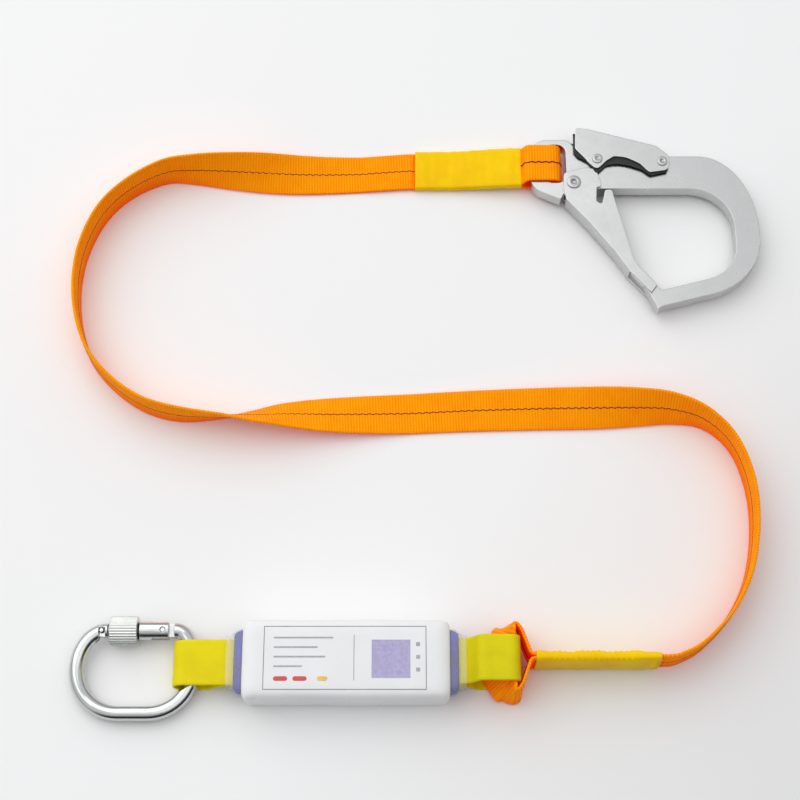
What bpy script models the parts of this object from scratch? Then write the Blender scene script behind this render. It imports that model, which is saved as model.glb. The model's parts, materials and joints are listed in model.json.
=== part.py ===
"""Shock absorbing lanyard: scaffold hook, webbing strap, tear-webbing absorber pack and screw-gate carabiner.

Metres, +Z up. The lanyard lies on the plane z = 0. The origin is the middle of the absorber cover's
flat underside, +X runs along the pack towards the strap, and the hook lies beyond the pack on +Y.
"""

import math

import bmesh
import bpy
from mathutils import Vector

# Clearances shared by the whole part
GAP = 0.0003
RUN = 0.0004

# Orange lanyard webbing and its sewn ends
WEB_W = 0.036
WEB_T = 0.0026
SLEEVE_WALL = 0.0009
HOOK_SLEEVE_L = 0.096
SLEEVE_STANDOFF = 0.0105
PACK_SLEEVE_L = 0.100
PACK_SLEEVE_Y = 0.0015
SLEEVE_FROM_FOLD = 0.0118
SEAM = 0.005
EYE_LEAN = 56
EYE_FLARE = 83
EYE_SPAN = 0.0340
EYE_CORNER_IN = 0.0153
EYE_CORNER_R = 0.0045
EYE_TURN_R = 0.016
EYE_ENTRY = 0.0018

# Yellow absorber end loops
LOOP_W = 0.0362
LOOP_T = 0.0024
LOOP_TAIL = 0.058
CARABINER_REACH = 0.040
CARABINER_BELLY = 0.013
CARABINER_BEND = 0.0085
CARABINER_ROOM = 0.0045
BAR_FROM_FOLD = 0.0155
STRAP_REACH = 0.039
STRAP_BELLY = 0.0075
STRAP_BEND = 0.0045
EYE_FROM_FOLD = 0.0245
LOOP_SOFT = 0.012
STRAP_EXIT_SPREAD = 0.0065
FLOOR_GAP = 0.0003

# Absorber pack
PACK_L = 0.162
TEAR_L = 0.140
TEAR_W = 0.048
TEAR_T = 0.0026
TEAR_LAYERS = 4
TEAR_GAP = 0.0006
WRAP_WALL = 0.0008
WRAP_REACH = 0.008
FILM_WALL = 0.0004
FILM_REACH = 0.016
COVER_WALL = 0.0012
COVER_ROUND = 0.007

# Scaffold hook, measured from the middle of its eye bar
HOOK_AT = (0.164, 0.450)
HOOK_T = 0.012
EYE_BAR = 0.012
EYE_LENGTH = 0.020
EYE_MARGIN = 0.0015
EYE_RIM = 0.0045
EYE_ROUND = 0.015
EYE_FREE = 0.004
PIVOT_WALL = 0.006
PIVOT_DROP = 0.020
BOSS_R = 0.014
BACK_DROP = 0.0253
BACK_H = 0.0325
THROAT_L = 0.1395
THROAT_H = 0.082
THROAT_ROUND = 0.038
BEND_W = 0.0215
NOSE_W = 0.0143
NOSE_L = 0.076
NOSE_SLOPE = math.radians(14.8)
NOSE_TONGUE = 0.012
HOOK_EDGE = 0.0010
BEND_STEPS = 14

# Hook gate, lock lever and their rivets
SHEET = 0.0018
GATE_ARM_W = 0.0092
GATE_TIP_W = 0.0080
RIVET_R = 0.0031
RIVET_HEAD_R = 0.0062
RIVET_HEAD_H = 0.0014
LEVER_PIVOT_RUN = 0.079
LEVER_L = 0.076
LEVER_RISE = 0.034
LEVER_TRAVEL = math.radians(6.0)
LOCK_PIN_R = 0.0025
LOCK_PIN_RUN = 0.0575
LEVER_RIVET_R = 0.0024
LEVER_HEAD_R = 0.0046
LEVER_HEAD_H = 0.0009

# Hook springs
GATE_WIRE = 0.0013
GATE_COIL_R = 0.0070
GATE_COIL_TURNS = 3.25
GATE_COIL_PITCH = 0.0018
LEVER_WIRE = 0.0011
LEVER_COIL_R = 0.0036
LEVER_COIL_TURNS = 5
LEVER_SPRING_RUN = 0.036
SPRING_SEAT = 0.005

# Carabiner, measured from the bar inside the yellow loop
BAR_R = 0.006
CARABINER_L = 0.092
CARABINER_H = 0.065
CARABINER_ABOVE = 0.027
ROUND_NOSE = 0.0225
NOSE_TALL = 1.36
ROUND_HINGE = 0.0135
HINGE_TALL = 2.15
ROUND_LEFT = 0.034
ROUND_LOW = 0.034
HINGE_IN = 0.0245
GATE_OPENING = 0.044
BARREL_R = 0.0075
BARREL_L = 0.0185
THREAD_R = 0.0060
TONGUE_T = 0.0060
HINGE_PIN_R = 0.0020
LATCH_T = 0.0040
LATCH_DEPTH = 0.0095
LATCH_PIN_R = 0.0016
SLEEVE_R = 0.0115
SLEEVE_L = 0.0215
SLEEVE_FLUTES = 32
FLUTE_DEPTH = 0.0005
PLUNGER_R = 0.0022
PLUNGER_L = 0.0050
GATE_SPRING_WIRE = 0.0007
GATE_SPRING_TURNS = 6

# The free strap's middle line from the hook sleeve to the pack sleeve: x, y, and how far its right edge rises
ROUTE = [
    (0.0060, 0.4475, 0), (-0.0480, 0.4450, 15), (-0.1010, 0.4440, 48),
    (-0.1410, 0.4440, 72), (-0.1680, 0.4410, 84), (-0.1980, 0.4240, 90), (-0.2200, 0.3990, 90),
    (-0.2330, 0.3660, 90), (-0.2370, 0.3320, 90), (-0.2330, 0.2970, 90), (-0.2210, 0.2640, 90),
    (-0.2000, 0.2380, 90), (-0.1730, 0.2190, 90), (-0.1420, 0.2100, 88), (-0.1040, 0.2085, 72),
    (-0.0790, 0.2090, 55), (-0.0530, 0.2115, 36), (-0.0120, 0.2135, 16), (0.0420, 0.2160, 2),
    (0.1000, 0.2185, -4), (0.1600, 0.2195, -13), (0.2040, 0.2190, -26), (0.2400, 0.2180, -45),
    (0.2700, 0.2155, -64), (0.2970, 0.2060, -83), (0.3180, 0.1840, -90), (0.3290, 0.1500, -90),
    (0.3300, 0.1120, -90), (0.3220, 0.0720, -90), (0.3050, 0.0390, -90), (0.2810, 0.0140, -90),
]

# Colours as linear RGB
ORANGE = (0.95, 0.25, 0.012)
SLEEVE_YELLOW = (0.93, 0.58, 0.006)
LOOP_YELLOW = (0.80, 0.66, 0.012)
WHITE = (0.86, 0.86, 0.86)
BLUE = (0.06, 0.08, 0.45)
NATURAL = (0.80, 0.80, 0.74)
FILM = (0.80, 0.82, 0.84)
STEEL = (0.62, 0.63, 0.64)
BRIGHT_STEEL = (0.74, 0.75, 0.75)
SPRING_STEEL = (0.30, 0.30, 0.31)

# Heights in the absorber pack, stacked outwards from the webbing
TAIL_H = 2 * LOOP_T + GAP
TEAR_H = TEAR_LAYERS * TEAR_T + (TEAR_LAYERS - 1) * TEAR_GAP
CORE_H = TAIL_H + 2 * (GAP + TEAR_H)
WRAP_H = CORE_H + 2 * (GAP + WRAP_WALL)
WRAP_ROUND = COVER_ROUND - COVER_WALL - FILM_WALL - 2 * GAP
WRAP_IN = max(WRAP_ROUND - WRAP_WALL, 2 * GAP)
TEAR_SIDE = 2 * GAP + WRAP_IN - math.sqrt(WRAP_IN ** 2 - (WRAP_IN - GAP) ** 2)
WRAP_W = TEAR_W + 2 * (TEAR_SIDE + WRAP_WALL)
FILM_H = WRAP_H + 2 * (GAP + FILM_WALL)
FILM_W = WRAP_W + 2 * (GAP + FILM_WALL)
COVER_H = FILM_H + 2 * (GAP + COVER_WALL)
COVER_W = FILM_W + 2 * (GAP + COVER_WALL)
PACK_Z = COVER_H / 2

# Ends of the absorber's film, loops and strap sleeve along X
FILM_END = PACK_L / 2 + FILM_REACH
CARABINER_FOLD = FILM_END + CARABINER_REACH
STRAP_FOLD = FILM_END + STRAP_REACH
PACK_SLEEVE_X = STRAP_FOLD + SLEEVE_FROM_FOLD

# Hook layers from its middle plane outwards, and its places
GATE_IN = HOOK_T / 2 + RUN
GATE_OUT = GATE_IN + SHEET
LEVER_IN = GATE_OUT + RUN
LEVER_OUT = LEVER_IN + SHEET
HOOK_Z = LEVER_OUT + GAP + LEVER_HEAD_H + GAP
EYE_END = EYE_BAR / 2 + EYE_LENGTH
EYE_HALF = WEB_W / 2 + EYE_MARGIN
PIVOT = Vector((EYE_END + PIVOT_WALL, -PIVOT_DROP))
LEVER_AT = Vector((PIVOT.x + LEVER_PIVOT_RUN, PIVOT.y + PIVOT_DROP))
LOCK_PIN = Vector((-LOCK_PIN_RUN, 0.0025))
THROAT_END = PIVOT.x + THROAT_L
BACK_Y = -BACK_DROP
THROAT_LOW = BACK_Y - THROAT_H
NOSE_DIR = Vector((-math.cos(NOSE_SLOPE), -math.sin(NOSE_SLOPE)))
NOSE_UP = Vector((-NOSE_DIR.y, NOSE_DIR.x)) * -1
NOSE_END = Vector((THROAT_END, THROAT_LOW)) + NOSE_DIR * NOSE_L
GATE_END = NOSE_END + NOSE_UP * 0.002
GATE_DIR = (GATE_END - PIVOT).normalized()
GATE_L = (GATE_END - PIVOT).length
GATE_IN_DIR = Vector((-GATE_DIR.y, GATE_DIR.x))

# Carabiner places, measured from the bar inside the loop
HINGE_X = -HINGE_IN
NOSE_X = HINGE_X - GATE_OPENING
SWING_X = -(CARABINER_FOLD - BAR_FROM_FOLD)
CARABINER_LOW_Z = BAR_R + 0.0015
CARABINER_TILT = math.asin((SLEEVE_R + GAP - CARABINER_LOW_Z) / CARABINER_H)


def start_scene():
    for obj in list(bpy.data.objects):
        bpy.data.objects.remove(obj, do_unlink=True)
    for name in ("shock_absorbing_lanyard", "cutters"):
        bpy.context.scene.collection.children.link(bpy.data.collections.new(name))


def finish_of(name, colour, roughness, metallic):
    found = bpy.data.materials.get(name)
    if found:
        return found
    made = bpy.data.materials.new(name)
    made.use_nodes = True
    shader = made.node_tree.nodes["Principled BSDF"]
    shader.inputs["Base Color"].default_value = (*colour, 1.0)
    shader.inputs["Roughness"].default_value = roughness
    shader.inputs["Metallic"].default_value = metallic
    return made


FINISHES = {
    "webbing": (ORANGE, 0.85, 0.0),
    "sleeve_plastic": (SLEEVE_YELLOW, 0.45, 0.0),
    "loop_plastic": (LOOP_YELLOW, 0.40, 0.0),
    "cover_plastic": (WHITE, 0.45, 0.0),
    "wrap_plastic": (BLUE, 0.40, 0.0),
    "tear_webbing": (NATURAL, 0.90, 0.0),
    "film": (FILM, 0.15, 0.0),
    "plated_steel": (STEEL, 0.35, 1.0),
    "polished_steel": (BRIGHT_STEEL, 0.15, 1.0),
    "spring_steel": (SPRING_STEEL, 0.35, 1.0),
}


def keep(obj, finish, parent=None):
    """Puts a finished piece in the part's collection with its material."""
    for owner in list(obj.users_collection):
        owner.objects.unlink(obj)
    bpy.data.collections["shock_absorbing_lanyard"].objects.link(obj)
    obj.data.materials.clear()
    obj.data.materials.append(finish_of(finish, *FINISHES[finish]))
    obj.parent = parent
    return obj


def frame(name, place, tilt=0.0):
    empty = bpy.data.objects.new(name, None)
    empty.location = place
    empty.rotation_euler = (tilt, 0.0, 0.0)
    bpy.data.collections["shock_absorbing_lanyard"].objects.link(empty)
    return empty


def helper(obj):
    for owner in list(obj.users_collection):
        owner.objects.unlink(obj)
    bpy.data.collections["cutters"].objects.link(obj)
    obj.hide_render = True
    obj.display_type = "WIRE"
    return obj


def made_mesh(curve_object):
    """The curve's solid as a welded mesh object at the same place."""
    bpy.context.view_layer.update()
    graph = bpy.context.evaluated_depsgraph_get()
    mesh = bpy.data.meshes.new_from_object(curve_object.evaluated_get(graph))
    name = curve_object.name
    place = curve_object.matrix_world.copy()
    bpy.data.objects.remove(curve_object, do_unlink=True)
    shape = bmesh.new()
    shape.from_mesh(mesh)
    bmesh.ops.remove_doubles(shape, verts=shape.verts, dist=1e-6)
    bmesh.ops.dissolve_limit(shape, angle_limit=1e-4, verts=shape.verts, edges=shape.edges)
    bmesh.ops.recalc_face_normals(shape, faces=shape.faces)
    shape.to_mesh(mesh)
    shape.free()
    obj = bpy.data.objects.new(name, mesh)
    obj.matrix_world = place
    bpy.context.scene.collection.objects.link(obj)
    return obj


def arc(centre, radius, start, end, steps, tall=1.0):
    """Points on an arc, angles in degrees, stretched along Y by the factor tall."""
    turns = [math.radians(start + (end - start) * i / steps) for i in range(steps + 1)]
    return [(centre[0] + radius * math.cos(a), centre[1] + tall * radius * math.sin(a)) for a in turns]


def rounded(corners, step_angle=15.0, closed=True):
    """A line whose corners, given as x, y, radius, are rounded; a corner of x, y stays sharp."""
    points = []
    count = len(corners)
    for i, corner in enumerate(corners):
        here = Vector(corner[:2])
        radius = corner[2] if len(corner) > 2 else 0.0
        before = (Vector(corners[i - 1][:2]) - here).normalized()
        after = (Vector(corners[(i + 1) % count][:2]) - here).normalized()
        half = before.angle(after) / 2
        end = not closed and i in (0, count - 1)
        if end or radius <= 0 or half > math.radians(89):
            points.append(tuple(here))
            continue
        centre = here + (before + after).normalized() * (radius / math.sin(half))
        first = here + before * (radius / math.tan(half)) - centre
        last = here + after * (radius / math.tan(half)) - centre
        start = math.atan2(first.y, first.x)
        sweep = (math.atan2(last.y, last.x) - start + math.pi) % (2 * math.pi) - math.pi
        steps = max(1, round(abs(math.degrees(sweep)) / step_angle))
        for n in range(steps + 1):
            turn = start + sweep * n / steps
            points.append((centre.x + radius * math.cos(turn), centre.y + radius * math.sin(turn)))
    return points


def plate(name, outlines, thickness, edge=0.0):
    """A flat piece in its own XY plane, the first outline outside and the others holes."""
    curve = bpy.data.curves.new(name, "CURVE")
    curve.dimensions = "2D"
    curve.fill_mode = "BOTH"
    curve.extrude = thickness / 2
    for outline in outlines:
        spline = curve.splines.new("POLY")
        spline.points.add(len(outline) - 1)
        for point, (x, y) in zip(spline.points, outline):
            point.co = (x, y, 0.0, 1.0)
        spline.use_cyclic_u = True
    holder = bpy.data.objects.new(name, curve)
    bpy.context.scene.collection.objects.link(holder)
    obj = made_mesh(holder)
    if edge:
        bevel = obj.modifiers.new("edge", "BEVEL")
        bevel.width = edge
        bevel.segments = 1
        bevel.limit_method = "ANGLE"
        bevel.angle_limit = math.radians(60)
    return obj


def strip(path, thickness):
    """The closed outline of a band that follows a path of x, y points."""
    points = [Vector(p) for p in path]
    sides = []
    for i, point in enumerate(points):
        ahead = points[min(i + 1, len(points) - 1)] - points[max(i - 1, 0)]
        normal = Vector((-ahead.y, ahead.x)).normalized() * thickness / 2
        sides.append((point + normal, point - normal))
    left = [tuple(a) for a, _ in sides]
    right = [tuple(b) for _, b in reversed(sides)]
    return left + right


def smooth(points, per_span):
    """A smooth line through the points, of any number of values each, with per_span steps between them."""
    rows = [tuple(2 * a - b for a, b in zip(points[0], points[1])), *points]
    rows.append(tuple(2 * a - b for a, b in zip(points[-1], points[-2])))
    out = []
    for i in range(1, len(rows) - 2):
        for n in range(per_span):
            t = n / per_span
            out.append(tuple(
                0.5 * (2 * b + (c - a) * t + (2 * a - 5 * b + 4 * c - d) * t * t
                       + (3 * b - a - 3 * c + d) * t ** 3)
                for a, b, c, d in zip(rows[i - 1], rows[i], rows[i + 1], rows[i + 2])
            ))
    out.append(tuple(points[-1]))
    return out


def ribbon(name, points, width, thickness):
    """A flat band along points of x, y, z and roll in degrees, lying flat where the roll is 0."""
    profile = bpy.data.curves.new(name + "_section", "CURVE")
    profile.dimensions = "2D"
    side = profile.splines.new("POLY")
    side.points.add(3)
    for point, (x, y) in zip(side.points, ((-1, -1), (1, -1), (1, 1), (-1, 1))):
        point.co = (x * width / 2, y * thickness / 2, 0.0, 1.0)
    side.use_cyclic_u = True
    section = helper(bpy.data.objects.new(name + "_section", profile))
    curve = bpy.data.curves.new(name, "CURVE")
    curve.dimensions = "3D"
    curve.twist_mode = "Z_UP"
    curve.bevel_mode = "OBJECT"
    curve.bevel_object = section
    curve.use_fill_caps = True
    spline = curve.splines.new("POLY")
    spline.points.add(len(points) - 1)
    for point, (x, y, z, roll) in zip(spline.points, points):
        point.co = (x, y, z, 1.0)
        point.tilt = -math.radians(roll)
    obj = bpy.data.objects.new(name, curve)
    bpy.context.scene.collection.objects.link(obj)
    return obj


def wire(name, points, radius, resolution):
    curve = bpy.data.curves.new(name, "CURVE")
    curve.dimensions = "3D"
    curve.bevel_depth = radius
    curve.bevel_resolution = resolution
    curve.use_fill_caps = True
    spline = curve.splines.new("POLY")
    spline.points.add(len(points) - 1)
    for point, place in zip(spline.points, points):
        point.co = (*place, 1.0)
    obj = bpy.data.objects.new(name, curve)
    bpy.context.scene.collection.objects.link(obj)
    return obj


def turned(name, profile, steps=24):
    """A solid of revolution about X from a closed profile of x, radius points."""
    mesh = bpy.data.meshes.new(name)
    edges = [(i, (i + 1) % len(profile)) for i in range(len(profile))]
    mesh.from_pydata([(x, 0.0, r) for x, r in profile], edges, [])
    obj = bpy.data.objects.new(name, mesh)
    bpy.context.scene.collection.objects.link(obj)
    screw = obj.modifiers.new("turn", "SCREW")
    screw.axis = "X"
    screw.steps = steps
    screw.render_steps = steps
    screw.use_merge_vertices = True
    screw.merge_threshold = 1e-5
    screw.use_normal_calculate = True
    return solid(obj)


def solid(obj):
    """Applies an object's modifiers and turns its faces outwards."""
    bpy.context.view_layer.update()
    graph = bpy.context.evaluated_depsgraph_get()
    mesh = bpy.data.meshes.new_from_object(obj.evaluated_get(graph))
    obj.modifiers.clear()
    shape = bmesh.new()
    shape.from_mesh(mesh)
    bmesh.ops.remove_doubles(shape, verts=shape.verts, dist=1e-6)
    bmesh.ops.recalc_face_normals(shape, faces=shape.faces)
    shape.to_mesh(mesh)
    shape.free()
    obj.data = mesh
    return obj


def cylinder(name, radius, depth, place, axis="Z", sides=24):
    bpy.ops.mesh.primitive_cylinder_add(vertices=sides, radius=radius, depth=depth, location=place)
    obj = bpy.context.active_object
    obj.name = name
    if axis == "X":
        obj.rotation_euler = (0.0, math.pi / 2, 0.0)
    return obj


def box(name, size, place, turn=0.0):
    bpy.ops.mesh.primitive_cube_add(size=1.0, location=place)
    obj = bpy.context.active_object
    obj.name = name
    obj.scale = size
    obj.rotation_euler = (0.0, 0.0, turn)
    return obj


def joined(obj, other, operation):
    modifier = obj.modifiers.new(other.name, "BOOLEAN")
    modifier.operation = operation
    modifier.solver = "EXACT"
    modifier.object = helper(other)
    other.parent = obj.parent
    return obj


def cut(obj, *cutters):
    for cutter in cutters:
        joined(obj, cutter, "DIFFERENCE")
    return obj


def shell(name, stations, wall):
    """An open tube along X with a rounded rectangular section.

    Each station gives x, half width, half height and corner radius.
    """
    corner_steps = 4
    shape = bmesh.new()
    rings = []
    for x, half_w, half_h, radius in stations:
        ring = []
        for k, (sy, sz) in enumerate(((1, 1), (-1, 1), (-1, -1), (1, -1))):
            for n in range(corner_steps + 1):
                turn = math.pi / 2 * (k + n / corner_steps)
                y = sy * (half_w - radius) + radius * math.cos(turn)
                z = sz * (half_h - radius) + radius * math.sin(turn)
                ring.append(shape.verts.new((x, y, z)))
        rings.append(ring)
    count = len(rings[0])
    for a, b in zip(rings, rings[1:]):
        for i in range(count):
            j = (i + 1) % count
            shape.faces.new((a[i], b[i], b[j], a[j]))
    bmesh.ops.recalc_face_normals(shape, faces=shape.faces)
    mesh = bpy.data.meshes.new(name)
    shape.to_mesh(mesh)
    shape.free()
    obj = bpy.data.objects.new(name, mesh)
    bpy.context.scene.collection.objects.link(obj)
    thicken = obj.modifiers.new("wall", "SOLIDIFY")
    thicken.thickness = wall
    thicken.offset = -1.0
    thicken.use_even_offset = True
    return obj


def both_ends(half):
    """A shell's stations for both ends, from those of its +X half."""
    return [(-x, w, h, r) for x, w, h, r in reversed(half)] + half


def build_pack():
    half_w = COVER_W / 2
    half_h = COVER_H / 2
    end = PACK_L / 2
    cover = shell("pack_cover", both_ends([(end, half_w, half_h, COVER_ROUND)]), COVER_WALL)
    cover.location.z = PACK_Z
    keep(cover, "cover_plastic")

    wrap_end = end + WRAP_REACH
    wrap = shell("inner_wrap", both_ends([
        (end, WRAP_W / 2, WRAP_H / 2, WRAP_ROUND),
        (wrap_end - 0.003, WRAP_W / 2 - 0.0006, WRAP_H / 2 - 0.0006, WRAP_ROUND),
        (wrap_end, WRAP_W / 2 - 0.0025, WRAP_H / 2 - 0.0025, WRAP_ROUND),
    ]), WRAP_WALL)
    wrap.location.z = PACK_Z
    keep(wrap, "wrap_plastic")

    film_round = COVER_ROUND - COVER_WALL - GAP
    mouth = STRAP_EXIT_SPREAD + LOOP_T + 2 * GAP + FILM_WALL
    film = shell("clear_film", both_ends([
        (end, FILM_W / 2, FILM_H / 2, film_round),
        (wrap_end - 0.002, FILM_W / 2, FILM_H / 2, film_round),
        (wrap_end + 0.0015, FILM_W / 2 - 0.0015, FILM_H / 2 - 0.0015, film_round),
        (FILM_END, LOOP_W / 2 + GAP + FILM_WALL + 0.0012, mouth + 0.0016, film_round / 2),
    ]), FILM_WALL)
    film.location.z = PACK_Z
    keep(film, "film")

    for name, side in (("tear_webbing_upper", 1), ("tear_webbing_lower", -1)):
        band = plate(name, [strip(tear_path(), TEAR_T)], TEAR_W)
        band.rotation_euler = (math.pi / 2, 0.0, 0.0)
        band.location.z = PACK_Z + side * (TAIL_H / 2 + GAP + TEAR_H / 2)
        keep(band, "tear_webbing")


def tear_path():
    """The folded tear webbing's middle line: layers one above the other with a half turn at each end."""
    pitch = TEAR_T + TEAR_GAP
    run = TEAR_L / 2 - TEAR_T
    low = -TEAR_H / 2 + TEAR_T / 2
    path = [(-run, low)]
    for layer in range(TEAR_LAYERS - 1):
        side = 1 if layer % 2 == 0 else -1
        centre = (side * run, low + pitch * (layer + 0.5))
        path += arc(centre, pitch / 2, -90, -90 + side * 180, 6)
    path.append((run if TEAR_LAYERS % 2 else -run, -low))
    return path


def build_loop(name, side, fold, inner_low, inner_high, belly, exit_spread, bend):
    """A yellow end loop: two tails in the pack, two spreading layers and the fold round its connector."""
    start = PACK_L / 2 - LOOP_TAIL
    rest = (LOOP_T + GAP) / 2
    spread = rest + exit_spread
    part_at = TEAR_L / 2 + 0.003
    high = inner_high + LOOP_T / 2
    low = inner_low - LOOP_T / 2
    fold_mid = fold - LOOP_T / 2
    soft = LOOP_SOFT
    path = rounded([
        (start, PACK_Z + rest), (part_at, PACK_Z + rest, soft), (FILM_END, PACK_Z + spread, soft),
        (belly, high, soft / 2), (fold_mid, high, bend), (fold_mid, low, bend), (belly, low, soft / 2),
        (FILM_END, PACK_Z - spread, soft), (part_at, PACK_Z - rest, soft), (start, PACK_Z - rest),
    ], 12.0, closed=False)
    band = plate(name, [strip([(side * x, z) for x, z in path], LOOP_T)], LOOP_W)
    band.rotation_euler = (math.pi / 2, 0.0, 0.0)
    return keep(band, "loop_plastic")


def roll_height(roll):
    """How high a rolled strap's middle lies with its lower edge on the ground."""
    turn = math.radians(roll)
    return FLOOR_GAP + WEB_W / 2 * abs(math.sin(turn)) + WEB_T / 2 * abs(math.cos(turn))


def build_strap():
    sleeve_mid = HOOK_AT[0] - EYE_BAR / 2 - SLEEVE_STANDOFF - HOOK_SLEEVE_L / 2
    sleeve_lift = SLEEVE_WALL + GAP
    first_layer = FLOOR_GAP + sleeve_lift + WEB_T / 2
    start = sleeve_mid - HOOK_SLEEVE_L / 2
    end = PACK_SLEEVE_X + PACK_SLEEVE_L
    route = [(start + SEAM, HOOK_AT[1], 0, sleeve_lift), (start - SEAM, HOOK_AT[1], 0, sleeve_lift)]
    route += [(x, y, roll, 0.0) for x, y, roll in ROUTE]
    route.append((end + 3 * SEAM, PACK_SLEEVE_Y + SEAM / 2, -90, 0.0))
    route += [(end + SEAM, PACK_SLEEVE_Y, -90, sleeve_lift), (end - SEAM, PACK_SLEEVE_Y, -90, sleeve_lift)]
    points = [(x, y, roll_height(roll) + max(lift, 0.0), roll) for x, y, roll, lift in smooth(route, 2)]
    keep(made_mesh(ribbon("lanyard_strap", points, WEB_W, WEB_T)), "webbing")

    inner_h = 2 * WEB_T + 3 * GAP
    tube_h = inner_h + 2 * SLEEVE_WALL
    tube_w = WEB_W + 2 * (GAP + SLEEVE_WALL)
    hook_sleeve = shell("hook_end_sleeve", [
        (x, tube_w / 2, tube_h / 2, SLEEVE_WALL + GAP) for x in (-HOOK_SLEEVE_L / 2, 0.0, HOOK_SLEEVE_L / 2)
    ], SLEEVE_WALL)
    hook_sleeve.location = (sleeve_mid, HOOK_AT[1], FLOOR_GAP + tube_h / 2)
    keep(hook_sleeve, "sleeve_plastic")
    build_hook_loop(sleeve_mid, first_layer)

    pack_sleeve = shell("absorber_end_sleeve", [
        (x, tube_h / 2, tube_w / 2, SLEEVE_WALL + GAP) for x in (0.0, PACK_SLEEVE_L / 2, PACK_SLEEVE_L)
    ], SLEEVE_WALL)
    pack_sleeve.location = (PACK_SLEEVE_X, PACK_SLEEVE_Y, FLOOR_GAP + tube_w / 2)
    keep(pack_sleeve, "sleeve_plastic")
    build_absorber_eye()


def build_hook_loop(sleeve_mid, first_layer):
    """The strap's sewn end: through the sleeve, round the hook's eye bar and back on top of itself."""
    start = sleeve_mid - HOOK_SLEEVE_L / 2 + SEAM + 0.0025
    mouth = sleeve_mid + HOOK_SLEEVE_L / 2
    second_layer = first_layer + WEB_T + GAP
    high = HOOK_Z + HOOK_T / 2 + GAP + WEB_T / 2
    low = HOOK_Z - HOOK_T / 2 - GAP - WEB_T / 2
    over_bar = HOOK_AT[0] - EYE_BAR / 2 - WEB_T
    fold = HOOK_AT[0] + EYE_END - EYE_FREE - WEB_T / 2
    path = rounded([
        (start, first_layer), (mouth + 0.001, first_layer, 0.006), (over_bar, low, 0.006),
        (fold, low, 0.0068), (fold, high, 0.0068), (over_bar, high, 0.0030),
        (mouth + 0.0025, second_layer, 0.0030), (start + 0.006, second_layer),
    ], 15.0, closed=False)
    band = plate("hook_end_loop", [strip(path, WEB_T)], WEB_W)
    band.rotation_euler = (math.pi / 2, 0.0, 0.0)
    band.location.y = HOOK_AT[1]
    keep(band, "webbing")


def divided(points, longest):
    """The same line with its long runs cut into even pieces."""
    out = [points[0]]
    for start, end in zip(points, points[1:]):
        pieces = math.ceil(math.dist(start, end) / longest)
        out += [tuple(a + (b - a) * n / pieces for a, b in zip(start, end)) for n in range(1, pieces + 1)]
    return out


def build_absorber_eye():
    """The strap's other sewn end: it stands on edge, opens into a cornered eye and leans over in its loop."""
    step = (WEB_T + GAP) / 2
    mouth = PACK_SLEEVE_X - 0.8 * EYE_CORNER_R
    far = PACK_SLEEVE_X + PACK_SLEEVE_L - SEAM - SLEEVE_WALL
    corner = PACK_SLEEVE_X - EYE_CORNER_IN
    vertex = STRAP_FOLD - EYE_FROM_FOLD
    sleeve_lift = SLEEVE_WALL + GAP
    loop_lift = LOOP_T + 3 * GAP
    line = divided(rounded([
        (far - SEAM, step), (mouth, step, EYE_CORNER_R), (corner, EYE_SPAN, EYE_CORNER_R),
        (vertex, 0.0, EYE_TURN_R), (corner, -EYE_SPAN, EYE_CORNER_R), (mouth, -step, EYE_CORNER_R),
        (far, -step),
    ], 12.0, closed=False), 0.004)
    heights = [y for _, y in line]
    peak = max(heights)
    inside = range(heights.index(peak) + 1, heights.index(min(heights)))
    entry = LOOP_W / 2 + abs(PACK_SLEEVE_Y) + EYE_ENTRY
    points = []
    for i, (x, y) in enumerate(line):
        roll = EYE_FLARE + (90 - EYE_FLARE) * min(4 * (1 - abs(y) / peak), 1.0)
        lift = sleeve_lift
        if i in inside:
            share = min((peak - abs(y)) / (peak - entry), 1.0)
            roll = EYE_FLARE + (EYE_LEAN - EYE_FLARE) * share
            lift += (loop_lift - sleeve_lift) * share
        points.append((x, PACK_SLEEVE_Y + y, roll_height(roll) + lift, -roll))
    keep(made_mesh(ribbon("absorber_end_eye", points, WEB_W, WEB_T)), "webbing")


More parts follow.
